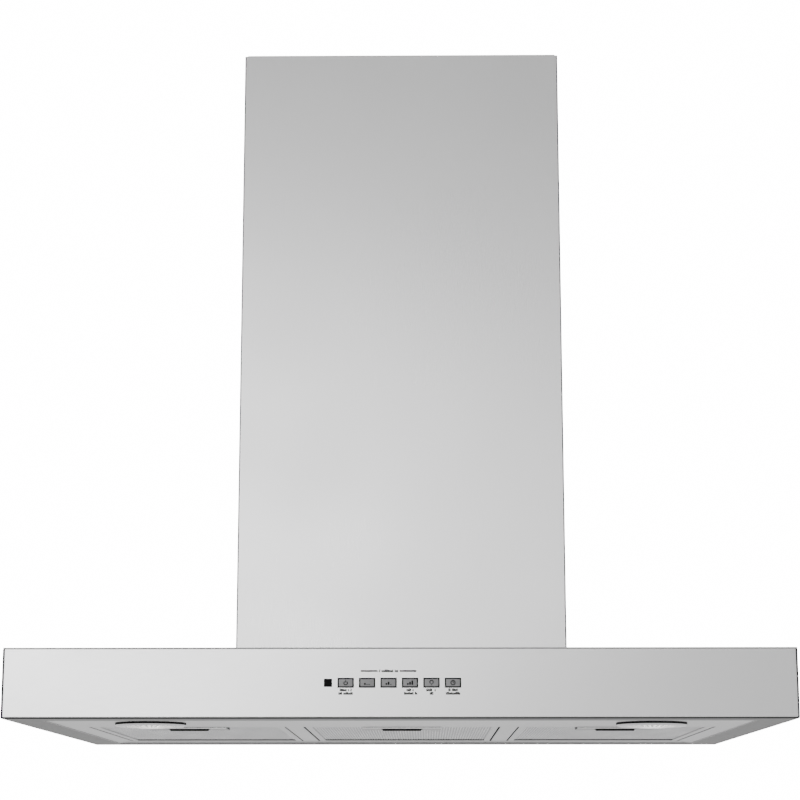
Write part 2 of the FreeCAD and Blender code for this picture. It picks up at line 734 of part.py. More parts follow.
# ---------------------------------------------------------------- blower
def blower_box():
    """Box over the canopy's air opening, open below, with the outlet hole on top."""
    box = slab(BOX_HALF_X, BOX_HALF_Y, TOP_Z, BOX_TOP)
    box = box.cut(slab(BOX_HALF_X - SHEET, BOX_HALF_Y - SHEET, TOP_Z - 1, BOX_TOP - SHEET))
    flange = slab(BOX_HALF_X + 11, BOX_HALF_Y + 11, TOP_Z, TOP_Z + SHEET)
    flange = flange.cut(slab(BOX_HALF_X - SHEET, BOX_HALF_Y - SHEET, TOP_Z - 1, TOP_Z + 2))
    box = box.fuse(flange)
    box = box.cut(slab(THROAT_HALF - SHEET, SCROLL_HALF - SHEET, BOX_TOP - 2, BOX_TOP + 1))
    for x, y in flange_screw_places():
        box = box.cut(rod(1.8, 5, Vector(x, y, TOP_Z - 1)))
    return box.removeSplitter()


def flange_screw_places():
    """Screw places round the blower box's foot flange."""
    x = BOX_HALF_X + 5.5
    y = BOX_HALF_Y + 5.5
    places = []
    for along_x, along_y in ((x, 60.0), (90.0, y)):
        for side in (-1, 1):
            places += [(side * along_x, along_y), (side * along_x, -along_y)]
    return places


def scroll_section(offset):
    """Face of the volute: a spiral from the cut-off round to the rising outlet throat."""
    steps = 24
    sweep = math.radians(300)
    start_angle = math.radians(60)
    points = []
    for step in range(steps + 1):
        part = step / steps
        radius = SCROLL_START + (SCROLL_END - SCROLL_START) * part + offset
        angle = start_angle + sweep * part
        points.append(Vector(FAN_X + radius * math.cos(angle), 0, FAN_Z + radius * math.sin(angle)))
    spiral = Part.BSplineCurve()
    spiral.interpolate(points)
    top = BOX_TOP - SHEET if offset == 0 else BOX_TOP + 4
    half = THROAT_HALF + offset
    lip = points[0] + Vector(-2 * offset, 0, -0.3 * offset)
    outline = [points[-1], Vector(half, 0, top), Vector(-half, 0, top), lip]
    if offset != 0:
        outline.append(points[0])
    return Part.Face(Part.Wire([spiral.toShape()] + Part.makePolygon(outline).Edges))


def scroll_wrap():
    """Spiral casing strip that ends in the outlet throat under the box's top."""
    width = 2 * SCROLL_HALF
    outer = moved(scroll_section(0.0).extrude(Y_AXIS * width), 0, -SCROLL_HALF, 0)
    inner = moved(scroll_section(-SHEET).extrude(Y_AXIS * (width + 2)), 0, -SCROLL_HALF - 1, 0)
    return outer.cut(inner)


def scroll_casing():
    """Volute strip seamed to its rear side plate."""
    return join([scroll_wrap(), scroll_side(1)])


def scroll_side(side):
    """Side plate of the volute with its bell-mouthed inlet."""
    face_y = side * SCROLL_HALF
    low = min(face_y, face_y + side * SHEET)
    plate = moved(scroll_section(0.0).extrude(Y_AXIS * SHEET), 0, low, 0)
    centre = Vector(FAN_X, low - 1, FAN_Z)
    plate = plate.cut(rod(INLET_RADIUS, SHEET + 2, centre, Y_AXIS))
    mouth_low = min(face_y - side * 5, face_y)
    mouth = pipe(INLET_RADIUS + SHEET, INLET_RADIUS, 5, Vector(FAN_X, mouth_low, FAN_Z), Y_AXIS)
    return join([plate, mouth])


def impeller():
    """Double-inlet wheel: centre disc with its hub, curved blades and two end rings."""
    centre = Vector(FAN_X, 0, FAN_Z)
    disc = rod(WHEEL_RADIUS, 2, centre + Vector(0, -1, 0), Y_AXIS)
    hub = rod(12, 14, centre + Vector(0, -9, 0), Y_AXIS)
    pieces = [disc, hub]
    for y in (-WHEEL_HALF, WHEEL_HALF - 2):
        pieces.append(pipe(WHEEL_RADIUS, WHEEL_INNER, 2, centre + Vector(0, y, 0), Y_AXIS))
    chord_rise = 3.0
    thick = 0.8
    middle = (WHEEL_RADIUS + WHEEL_INNER) / 2
    curves = []
    for shift in (0.0, thick):
        first = Vector(WHEEL_INNER + 0.3, 0, shift)
        last = Vector(WHEEL_RADIUS - 0.3, 0, shift + 4)
        curves.append(Part.Arc(first, Vector(middle, 0, shift + chord_rise - 2.6), last).toShape())
    ends = [
        Part.makeLine(curves[0].Vertexes[0].Point, curves[1].Vertexes[0].Point),
        Part.makeLine(curves[0].Vertexes[-1].Point, curves[1].Vertexes[-1].Point),
    ]
    section = Part.Face(Part.Wire(Part.__sortEdges__(curves + ends)))
    blade = section.extrude(Y_AXIS * (2 * WHEEL_HALF - 0.2))
    blade.translate(Vector(FAN_X, -WHEEL_HALF + 0.1, FAN_Z))
    for number in range(BLADE_COUNT):
        turned = blade.copy()
        turned.rotate(centre, Y_AXIS, 360.0 * number / BLADE_COUNT)
        pieces.append(turned)
    wheel = pieces[0].multiFuse(pieces[1:])
    return wheel.cut(rod(SHAFT_RADIUS, 40, centre + Vector(0, -20, 0), Y_AXIS))


def motor():
    """Motor can in the rear inlet, bored for its shaft."""
    length = MOTOR_REAR - MOTOR_FRONT
    body = rod(MOTOR_RADIUS, length, Vector(FAN_X, MOTOR_FRONT, FAN_Z), Y_AXIS)
    boss = rod(14, 5, Vector(FAN_X, MOTOR_FRONT - 5, FAN_Z), Y_AXIS)
    bore = rod(SHAFT_RADIUS + SHAFT_CLEARANCE, 46, Vector(FAN_X, MOTOR_FRONT - 6, FAN_Z), Y_AXIS)
    return join([body, boss]).cut(bore)


def motor_shaft():
    """Steel shaft that carries the wheel."""
    return rod(SHAFT_RADIUS, 64, Vector(FAN_X, -14, FAN_Z), Y_AXIS)


def motor_bracket():
    """Three-armed bracket between the motor and the rear side plate."""
    base = Vector(FAN_X, MOTOR_REAR, FAN_Z)
    pieces = [pipe(MOTOR_RADIUS, 26, 2, base, Y_AXIS)]
    arm = block(FAN_X + 34, FAN_X + 84, MOTOR_REAR, MOTOR_REAR + 2, FAN_Z - 8, FAN_Z + 8)
    for number in range(3):
        turned = arm.copy()
        turned.rotate(base, Y_AXIS, 30 + 120 * number)
        pieces.append(turned)
    return join(pieces)


def capacitor():
    """Run capacitor lying in the lower corner of the blower box."""
    return rod(17, 60, Vector(BOX_HALF_X - SHEET - 17, -30, TOP_Z + 24), Y_AXIS)


def outlet_collar():
    """Round duct collar on a square flange, with small stops under the dampers."""
    base = BOX_TOP
    flange = slab(86, 86, base, base + SHEET)
    tube = rod(COLLAR_RADIUS, COLLAR_HEIGHT, Vector(0, 0, base))
    collar = flange.fuse(tube).cut(rod(COLLAR_RADIUS - SHEET, COLLAR_HEIGHT + 4, Vector(0, 0, base - 2)))
    stop_z = FLAP_Z - 0.5 - RUN_GAP - 3
    stops = []
    for angle in (-30, 30, 150, 210):
        stop = block(COLLAR_RADIUS - 5, COLLAR_RADIUS - 0.5, -3, 3, stop_z, stop_z + 3)
        stop.rotate(Vector(0, 0, 0), Z_AXIS, angle)
        stops.append(stop)
    collar = join([collar] + stops)
    pin_hole = rod(PIN_RADIUS, 2 * COLLAR_RADIUS + 4, Vector(0, -COLLAR_RADIUS - 2, FLAP_Z), Y_AXIS)
    return collar.cut(pin_hole)


def damper_pin():
    """Straight pin across the collar on which both damper flaps hang."""
    length = 2 * COLLAR_RADIUS - 0.6
    return rod(PIN_RADIUS, length, Vector(0, -length / 2, FLAP_Z), Y_AXIS)


def damper_flap(side):
    """Half-round flap; its knuckles alternate with the other flap's along the pin."""
    disc = rod(FLAP_RADIUS - 0.6, 1, Vector(0, 0, FLAP_Z - 0.5))
    keep = block(KNUCKLE_RADIUS + 0.6, FLAP_RADIUS, -FLAP_RADIUS, FLAP_RADIUS, FLAP_Z - 1, FLAP_Z + 1)
    disc = disc.common(keep)
    knuckle_length = 28.0
    starts = (-58.0, 1.0) if side > 0 else (-28.5, 30.5)
    pieces = [disc]
    for start in starts:
        pieces.append(rod(KNUCKLE_RADIUS, knuckle_length, Vector(0, start, FLAP_Z), Y_AXIS))
        web = block(0, KNUCKLE_RADIUS + 1, start, start + knuckle_length, FLAP_Z - 0.5, FLAP_Z + 0.5)
        pieces.append(web)
    flap = join(pieces)
    flap = flap.cut(rod(PIN_RADIUS + PIN_CLEARANCE, 160, Vector(0, -80, FLAP_Z), Y_AXIS))
    if side < 0:
        flap = flap.mirror(Vector(0, 0, 0), X_AXIS)
    return flap


# ---------------------------------------------------------------- wiring pieces
def gland_place():
    """Middle of the cable gland on the junction box's top."""
    return Vector((JUNCTION_LOW_X + JUNCTION_HIGH_X) / 2, 0, BOX_TOP + JUNCTION_HEIGHT)


def junction_box():
    """Wiring box on the blower box, with a hole for the gland."""
    wall = JUNCTION_WALL
    half_y = JUNCTION_HALF_Y
    top = BOX_TOP + JUNCTION_HEIGHT
    body = block(JUNCTION_LOW_X, JUNCTION_HIGH_X, -half_y, half_y, BOX_TOP, top)
    hollow = block(
        JUNCTION_LOW_X + wall,
        JUNCTION_HIGH_X - wall,
        -JUNCTION_HALF_Y + wall,
        JUNCTION_HALF_Y - wall,
        BOX_TOP + wall,
        BOX_TOP + JUNCTION_HEIGHT - wall,
    )
    return body.cut(hollow).cut(rod(8, 10, gland_place() - Vector(0, 0, 5)))


def cable_gland():
    """Cable bushing with a through bore."""
    centre = gland_place()
    neck = rod(8, GLAND_LENGTH - 4, centre - Vector(0, 0, 6))
    collar = rod(11, GLAND_LENGTH - 6, centre)
    bore = rod(GLAND_BORE, GLAND_LENGTH + 10, centre - Vector(0, 0, 10))
    return join([neck, collar]).cut(bore)


def lamp_transformer():
    """Lamp supply on the inner face of the canopy's top."""
    return block(150, 240, -300, -258, TOP_Z - SHEET - 30, TOP_Z - SHEET)


# ---------------------------------------------------------------- build
def side_name(index, count=3):
    """Name of a place from left to right."""
    names = ("left", "centre", "right") if count == 3 else ("left", "right")
    return names[index]


def build():
    """Make every piece and write it."""
    os.makedirs("parts", exist_ok=True)
    save("canopy_shell", canopy_shell())
    save("canopy_top", canopy_top())
    save("bottom_panel", bottom_panel())
    for index in range(FILTER_COUNT):
        x = filter_x(index)
        place = side_name(index)
        save("filter_frame_" + place, filter_frame(x))
        save("filter_mesh_" + place, filter_mesh(x))
        save("latch_plate_" + place, latch_plate(x))
        save("latch_slider_" + place, latch_slider(x))
        save("latch_spring_" + place, latch_spring(x))
    for index, x in enumerate((-LAMP_X, LAMP_X)):
        place = side_name(index, 2)
        save("lamp_ring_" + place, lamp_ring(x))
        save("lamp_lens_" + place, lamp_lens(x))
        save("lamp_reflector_" + place, lamp_reflector(x))
        save("lamp_bulb_" + place, lamp_bulb(x))
    for index, name in enumerate(BUTTON_NAMES):
        save(name + "_button", button(index))
    save("sensor_window", sensor_window())
    save("control_housing", control_housing())
    save("control_board", control_board())
    save("lower_frame", lower_frame())
    save("upper_frame", upper_frame())
    save("ceiling_plate", ceiling_plate())
    save("frame_bolts", frame_bolts())
    save("lower_cover_front", lower_cover(True))
    save("lower_cover_rear", lower_cover(False))
    save("hood_screws", hood_screws())
    save("upper_cover_front", upper_cover(True))
    save("upper_cover_rear", upper_cover(False))
    save("upper_cover_screws", upper_cover_screws())
    save("blower_box", blower_box())
    save("scroll_casing", scroll_casing())
    save("scroll_cover", scroll_side(-1))
    save("impeller", impeller())
    save("motor", motor())
    save("motor_shaft", motor_shaft())
    save("motor_bracket", motor_bracket())
    save("capacitor", capacitor())
    save("outlet_collar", outlet_collar())
    save("damper_pin", damper_pin())
    save("damper_flap_left", damper_flap(-1))
    save("damper_flap_right", damper_flap(1))
    save("junction_box", junction_box())
    save("cable_gland", cable_gland())
    save("lamp_transformer", lamp_transformer())


build()
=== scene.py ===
import json
import logging
import math
from dataclasses import dataclass, field
from enum import Enum
from typing import Callable, Optional, Sequence

import bmesh
import bpy
import numpy as np
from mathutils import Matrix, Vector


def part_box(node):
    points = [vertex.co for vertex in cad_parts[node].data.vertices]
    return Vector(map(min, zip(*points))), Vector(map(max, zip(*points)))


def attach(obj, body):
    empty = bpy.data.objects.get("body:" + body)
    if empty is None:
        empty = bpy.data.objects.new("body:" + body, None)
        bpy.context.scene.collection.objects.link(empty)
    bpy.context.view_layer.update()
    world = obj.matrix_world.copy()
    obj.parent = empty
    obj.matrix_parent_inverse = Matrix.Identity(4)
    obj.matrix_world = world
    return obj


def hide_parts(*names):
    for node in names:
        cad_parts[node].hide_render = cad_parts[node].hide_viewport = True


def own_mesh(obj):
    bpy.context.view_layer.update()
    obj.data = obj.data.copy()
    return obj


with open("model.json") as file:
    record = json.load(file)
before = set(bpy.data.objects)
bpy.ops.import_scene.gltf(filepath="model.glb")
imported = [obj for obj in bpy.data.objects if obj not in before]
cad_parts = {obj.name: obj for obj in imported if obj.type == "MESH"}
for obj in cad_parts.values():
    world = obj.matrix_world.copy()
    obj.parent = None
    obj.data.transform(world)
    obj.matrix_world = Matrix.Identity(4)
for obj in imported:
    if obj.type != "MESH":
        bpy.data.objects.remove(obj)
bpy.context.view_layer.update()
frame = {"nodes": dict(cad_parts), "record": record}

# Looks of a ceiling-hung island range hood.
#
# Each sub-assembly is a class that holds its own sizes and builds its pieces as numpy surfaces or as
# edge-softened copies of the frame's solids. Lengths are in metres, +Z is up, the origin is the centre of
# the ceiling plate's top face and the push buttons face -Y.

LOG = logging.getLogger("hood")
MILLI = 0.001
TAU = 2.0 * math.pi
SHARP_FOLD = math.radians(40)
FLAT = 0.985

Array = np.ndarray
Socket = bpy.types.NodeSocket
Rule = Callable[[Array, Array], Array]


# --------------------------------------------------------------------------- numpy surfaces
@dataclass
class Surface:
    """Points and faces of one shell.

    Attributes:
        points: Array of shape (n, 3), metres.
        faces: Lists of point numbers, outward by the right-hand rule.
    """

    points: Array
    faces: list

    def moved(self, offset: Sequence[float]) -> "Surface":
        """Copy shifted by offset."""
        return Surface(self.points + np.asarray(offset, float), self.faces)

    def turned_over(self) -> "Surface":
        """Copy whose faces point the other way."""
        return Surface(self.points, [tuple(reversed(face)) for face in self.faces])

    def mapped(self, rule: Callable[[Array], Array]) -> "Surface":
        """Copy whose points went through rule."""
        return Surface(rule(self.points), self.faces)


def join_surfaces(parts: Sequence[Surface]) -> Surface:
    """Put several shells into one.

    Args:
        parts: Shells to join.

    Returns:
        One surface whose face numbers are shifted by the points before them.
    """
    points = np.vstack([part.points for part in parts])
    faces: list = []
    start = 0
    for part in parts:
        faces += [tuple(int(number) + start for number in face) for face in part.faces]
        start += len(part.points)
    return Surface(points, faces)


def grid_quads(rows: int, columns: int, close_rows: bool = False, close_columns: bool = True) -> list:
    """Quads over a grid of points numbered row by row.

    Args:
        rows: Number of rows.
        columns: Number of points in a row.
        close_rows: The last row joins the first.
        close_columns: The last column joins the first.

    Returns:
        Faces as tuples of four point numbers.
    """
    row_count = rows if close_rows else rows - 1
    column_count = columns if close_columns else columns - 1
    row, column = np.meshgrid(np.arange(row_count), np.arange(column_count), indexing="ij")
    next_row = (row + 1) % rows
    next_column = (column + 1) % columns
    corners = [row * columns + column, row * columns + next_column]
    corners += [next_row * columns + next_column, next_row * columns + column]
    return [tuple(face) for face in np.stack(corners, axis=-1).reshape(-1, 4).tolist()]


def loft(loops: Array, cap_start: bool = True, cap_end: bool = True) -> Surface:
    """Skin over equal closed loops.

    The shape is points[i, j]: loop i, place j round it, both joined to their neighbours by quads.

    Args:
        loops: Array of shape (loops, places, 3).
        cap_start: Close the first loop with one face.
        cap_end: Close the last loop with one face.

    Returns:
        The skin, outward when the loops run anticlockwise seen from the last one.
    """
    rows, columns = loops.shape[:2]
    faces = grid_quads(rows, columns)
    if cap_start:
        faces.append(tuple(reversed(range(columns))))
    if cap_end:
        faces.append(tuple(range((rows - 1) * columns, rows * columns)))
    return Surface(loops.reshape(-1, 3), faces)


def revolve(profile: Array, segments: int = 64, ripple: Optional[Rule] = None) -> Surface:
    """Turn a profile about the Z axis.

    A point is (r cos a, r sin a, z) for profile point (r, z) and angle a; ripple(a, row) adds to z.

    Args:
        profile: Array of shape (n, 2), radius and height.
        segments: Number of steps round.
        ripple: Optional height change by angle and row number.

    Returns:
        The turned skin, outward when the profile runs upwards on its outer side.
    """
    angle = np.linspace(0.0, TAU, segments, endpoint=False)
    radius = profile[:, 0][:, None]
    height = np.repeat(profile[:, 1][:, None], segments, axis=1)
    if ripple is not None:
        height = height + ripple(angle[None, :], np.arange(len(profile))[:, None])
    points = np.stack([radius * np.cos(angle), radius * np.sin(angle), height], axis=-1)
    return loft(points, cap_start=False, cap_end=False)


def rounded_rectangle(width: float, height: float, radius: float, steps: int = 5) -> Array:
    """Outline of a rectangle with quarter-circle corners, anticlockwise.

    Each corner is centre + r (cos a, sin a) over a quarter turn.

    Args:
        width: Full width.
        height: Full height.
        radius: Corner radius.
        steps: Points along each corner.

    Returns:
        Array of shape (4 * steps, 2).
    """
    radius = max(min(radius, width / 2 - 1e-6, height / 2 - 1e-6), 1e-6)
    quarter = np.linspace(0.0, math.pi / 2, steps)
    corners = []
    for number, (sign_x, sign_y) in enumerate(((1, 1), (-1, 1), (-1, -1), (1, -1))):
        angle = quarter + number * math.pi / 2
        centre = np.array([sign_x * (width / 2 - radius), sign_y * (height / 2 - radius)])
        corners.append(centre + radius * np.stack([np.cos(angle), np.sin(angle)], axis=-1))
    return np.vstack(corners)


def plate_solid(width: float, height: float, corner: float, layers: Sequence[tuple]) -> Surface:
    """Rounded plate built from inset outlines.

    Layer (inset, level) is the outline shrunk by inset, at height level along +Z.

    Args:
        width: Size along X.
        height: Size along Y.
        corner: Corner radius of the full outline.
        layers: Pairs of inset and level from the bottom to the top.

    Returns:
        Closed solid about the Z axis.
    """
    loops = []
    for inset, level in layers:
        outline = rounded_rectangle(width - 2 * inset, height - 2 * inset, corner - inset)
        loops.append(np.column_stack([outline, np.full(len(outline), level)]))
    return loft(np.array(loops))


def soft_edge(low: float, high: float, radius: float, steps: int = 4) -> list:
    """Layers of a plate whose top edge is rounded: inset r(1 - cos a), level h - r(1 - sin a).

    Args:
        low: Level of the flat bottom.
        high: Level of the flat top.
        radius: Edge radius.
        steps: Steps round the edge.

    Returns:
        Pairs of inset and level for plate_solid.
    """
    angles = np.linspace(0.0, math.pi / 2, steps + 1)
    rounded = [(radius * (1 - math.cos(a)), high - radius * (1 - math.sin(a))) for a in angles]
    return [(0.0, low)] + rounded


def face_front(points: Array) -> Array:
    """Turn a shape that was built upwards so that it faces -Y: (x, y, z) becomes (x, -z, y)."""
    return np.stack([points[:, 0], -points[:, 2], points[:, 1]], axis=-1)


def tube_along(path: Array, radius: float, sides: int = 10, closed: bool = False) -> Surface:
    """Round tube along a path.

    A point is path + r (n cos a + b sin a), where n and b are square to the path's tangent.

    Args:
        path: Array of shape (n, 3).
        radius: Tube radius.
        sides: Points round the tube.
        closed: The path is a ring.

    Returns:
        The tube, capped when the path is open.
    """
    tangent = np.gradient(path, axis=0)
    tangent /= np.linalg.norm(tangent, axis=1)[:, None]
    helper = np.where(np.abs(tangent[:, 2:3]) > 0.9, np.array([[1.0, 0, 0]]), np.array([[0, 0, 1.0]]))
    normal = np.cross(helper, tangent)
    normal /= np.linalg.norm(normal, axis=1)[:, None]
    binormal = np.cross(tangent, normal)
    angle = np.linspace(0, TAU, sides, endpoint=False)[None, :, None]
    spoke = np.cos(angle) * normal[:, None, :] + np.sin(angle) * binormal[:, None, :]
    ring = path[:, None, :] + radius * spoke
    if closed:
        return Surface(ring.reshape(-1, 3), grid_quads(len(path), sides, close_rows=True))
    return loft(ring)


# --------------------------------------------------------------------------- finishes
class Grain(Enum):
    """Direction of a brushed finish, as the axis the scratches run along."""

    ALONG_X = (1.0, 60.0, 60.0)
    ALONG_Y = (60.0, 1.0, 60.0)
    ALONG_Z = (60.0, 60.0, 1.0)


class Nodes:
    """Small helper that wires one material's nodes."""

    def __init__(self, name: str) -> None:
        """Start an empty material with a Principled shader.

        Args:
            name: Material name.
        """
        self.material = bpy.data.materials.new(name)
        self.material.use_nodes = True
        self.tree = self.material.node_tree
        self.shader = self.tree.nodes["Principled BSDF"]
        self.place = self.tree.nodes.new("ShaderNodeTexCoord").outputs["Object"]

    def new(self, kind: str, **values: object) -> bpy.types.Node:
        """Add a node and set its properties or input values.

        Args:
            kind: Node type.
            values: Property or input names with their values.

        Returns:
            The node.
        """
        node = self.tree.nodes.new(kind)
        for key, value in values.items():
            if hasattr(node, key):
                setattr(node, key, value)
            else:
                node.inputs[key.replace("_", " ")].default_value = value
        return node

    def link(self, start: Socket, end: Socket) -> None:
        """Join two sockets."""
        self.tree.links.new(start, end)

    def set(self, **values: object) -> None:
        """Set constant values on the shader's own sockets."""
        for key, value in values.items():
            self.shader.inputs[key.replace("_", " ")].default_value = value

    def stretched(self, scale: Sequence[float]) -> Socket:
        """Object coordinates scaled by axis."""
        mapping = self.new("ShaderNodeMapping")
        mapping.inputs["Scale"].default_value = scale
        self.link(self.place, mapping.inputs["Vector"])
        return mapping.outputs["Vector"]

    def noise(self, scale: float, detail: float = 3.0, where: Optional[Socket] = None) -> Socket:
        """Noise value over the given coordinates.

        Args:
            scale: Noise scale, in waves per metre.
            detail: Octaves.
            where: Coordinates, or the object's own.

        Returns:
            The factor socket.
        """
        node = self.new("ShaderNodeTexNoise", Scale=scale, Detail=detail)
        self.link(where or self.place, node.inputs["Vector"])
        return node.outputs["Fac"]

    def ramp(self, value: Socket, low: float, high: float, start: float = 0.3, end: float = 0.7) -> Socket:
        """Stretch a value from start..end to low..high.

        Args:
            value: Value to stretch.
            low: Result at start.
            high: Result at end.
            start: Lower input bound.
            end: Upper input bound.

        Returns:
            The result socket.
        """
        node = self.new("ShaderNodeMapRange")
        for key, number in (("From Min", start), ("From Max", end), ("To Min", low), ("To Max", high)):
            node.inputs[key].default_value = number
        self.link(value, node.inputs["Value"])
        return node.outputs["Result"]

    def tint(self, value: Socket, dark: Sequence[float], light: Sequence[float]) -> None:
        """Colour the shader between two tones by a value.

        Args:
            value: Mixing factor.
            dark: Colour at 0.
            light: Colour at 1.
        """
        mix = self.new("ShaderNodeMix", data_type="RGBA")
        mix.inputs[6].default_value = (*dark, 1.0)
        mix.inputs[7].default_value = (*light, 1.0)
        self.link(value, mix.inputs["Factor"])
        self.link(mix.outputs[2], self.shader.inputs["Base Color"])

    def bump(self, value: Socket, strength: float, distance: float) -> None:
        """Raise the surface by a value.

        Args:
            value: Height, 0 to 1.
            strength: Bump strength.
            distance: Height of 1, in metres.
        """
        node = self.new("ShaderNodeBump", Strength=strength, Distance=distance)
        self.link(value, node.inputs["Height"])
        self.link(node.outputs["Normal"], self.shader.inputs["Normal"])


@dataclass(frozen=True)
class BrushedSteel:
    """Stainless sheet with fine scratches along one direction."""

    name: str
    grain: Grain = Grain.ALONG_X
    tone: float = 0.62
    roughness: float = 0.24
    scratch_scale: float = 40.0
    contrast: float = 0.02
    scratch_height: float = 0.00002
    anisotropy: float = 0.5

    def material(self) -> bpy.types.Material:
        """Stretched noise drives the tone, the roughness and a shallow bump.

        Returns:
            The material.
        """
        nodes = Nodes(self.name)
        lines = nodes.noise(self.scratch_scale, 4.0, nodes.stretched(self.grain.value))
        clouds = nodes.noise(3.0, 2.0)
        tone = self.tone
        bright = tone * (1 + self.contrast)
        dark = (tone * (1 - self.contrast),) * 3
        nodes.tint(nodes.ramp(lines, 0.0, 1.0), dark, (bright, bright, bright * 1.01))
        blend = nodes.new("ShaderNodeMath", operation="ADD")
        nodes.link(nodes.ramp(lines, -0.02, 0.02), blend.inputs[0])
        nodes.link(nodes.ramp(clouds, self.roughness - 0.03, self.roughness + 0.03), blend.inputs[1])
        nodes.link(blend.outputs[0], nodes.shader.inputs["Roughness"])
        nodes.set(Metallic=1.0, Anisotropic=self.anisotropy)
        nodes.bump(lines, 0.15, self.scratch_height)
        return nodes.material


@dataclass(frozen=True)
class BentEdge:
    """Even-toned steel with fine grit for bends, channel walls and the rim flange; its dark tones on bends
    and channel walls are painted shade, standing in for the dark surroundings those faces reflect.
    """

    name: str
    tone: float = 0.12
    roughness: float = 0.3
    edge_tint: float = 0.3

    def material(self) -> bpy.types.Material:
        """Fine noise varies the tone and the roughness, and the edge tint holds back the sheen.

        Returns:
            The material.
        """
        nodes = Nodes(self.name)
        grit = nodes.noise(900.0)
        nodes.tint(nodes.ramp(grit, 0.0, 1.0), (self.tone * 0.85,) * 3, (self.tone,) * 3)
        rough = nodes.ramp(grit, self.roughness - 0.05, self.roughness + 0.05)
        nodes.link(rough, nodes.shader.inputs["Roughness"])
        nodes.set(Metallic=1.0, Specular_Tint=(self.edge_tint,) * 3 + (1.0,))
        nodes.bump(grit, 0.1, 0.00001)
        return nodes.material


@dataclass(frozen=True)
class ZincSheet:
    """Galvanised sheet with crystal spangle."""

    name: str
    tone: float = 0.55
    roughness: float = 0.42

    def material(self) -> bpy.types.Material:
        """Voronoi cells vary the tone and the roughness, and noise dulls them.

        Returns:
            The material.
        """
        nodes = Nodes(self.name)
        cells = nodes.new("ShaderNodeTexVoronoi", Scale=70.0)
        nodes.link(nodes.place, cells.inputs["Vector"])
        grey = nodes.new("ShaderNodeRGBToBW")
        nodes.link(cells.outputs["Color"], grey.inputs[0])
        light = (self.tone, self.tone * 1.02, self.tone * 1.05)
        nodes.tint(nodes.ramp(grey.outputs[0], 0.0, 1.0), (self.tone * 0.8,) * 3, light)
        rough = nodes.ramp(grey.outputs[0], self.roughness + 0.1, self.roughness - 0.08)
        nodes.link(rough, nodes.shader.inputs["Roughness"])
        nodes.set(Metallic=0.9)
        nodes.bump(nodes.noise(900.0), 0.1, 0.00005)
        return nodes.material


@dataclass(frozen=True)
class PlainMetal:
    """Bright or cast metal with fine wear."""

    name: str
    colour: tuple = (0.7, 0.7, 0.7)
    roughness: float = 0.2
    scale: float = 400.0
    height: float = 0.00002

    def material(self) -> bpy.types.Material:
        """Noise varies tone and roughness, with a slight bump.

        Returns:
            The material.
        """
        nodes = Nodes(self.name)
        grit = nodes.noise(self.scale, 4.0)
        nodes.tint(nodes.ramp(grit, 0.0, 1.0), tuple(0.86 * part for part in self.colour), self.colour)
        rough = nodes.ramp(grit, self.roughness - 0.05, self.roughness + 0.08)
        nodes.link(rough, nodes.shader.inputs["Roughness"])
        nodes.set(Metallic=1.0)
        nodes.bump(grit, 0.2, self.height)
        return nodes.material


@dataclass(frozen=True)
class Moulding:
    """Moulded plastic or enamel with a fine spark texture."""

    name: str
    colour: tuple = (0.05, 0.05, 0.05)
    roughness: float = 0.45
    texture: float = 1400.0
    height: float = 0.00003
    gloss: float = 0.5

    def material(self) -> bpy.types.Material:
        """Fine noise gives the grain, broad noise a slight change of tone.

        Returns:
            The material.
        """
        nodes = Nodes(self.name)
        fine = nodes.noise(self.texture, 3.0)
        broad = nodes.noise(30.0, 2.0)
        nodes.tint(nodes.ramp(broad, 0.0, 1.0), tuple(0.88 * part for part in self.colour), self.colour)
        rough = nodes.ramp(fine, self.roughness - 0.06, self.roughness + 0.06)
        nodes.link(rough, nodes.shader.inputs["Roughness"])
        nodes.set(Specular_IOR_Level=self.gloss)
        nodes.bump(fine, 0.3, self.height)
        return nodes.material


@dataclass(frozen=True)
class ClearGlass:
    """Glass with faint waviness; glow adds a little light of its own."""

    name: str
    colour: tuple = (1.0, 1.0, 0.98)
    roughness: float = 0.02
    glow: float = 0.0

    def material(self) -> bpy.types.Material:
        """Transmission with a weak large-scale bump.

        Returns:
            The material.
        """
        nodes = Nodes(self.name)
        wave = nodes.noise(120.0, 2.0)
        nodes.tint(nodes.ramp(wave, 0.0, 1.0), tuple(0.96 * part for part in self.colour), self.colour)
        nodes.set(Transmission_Weight=1.0, IOR=1.46, Roughness=self.roughness)
        if self.glow:
            nodes.set(Emission_Color=(1.0, 0.97, 0.92, 1.0), Emission_Strength=self.glow)
        nodes.bump(wave, 0.1, 0.0001)
        return nodes.material


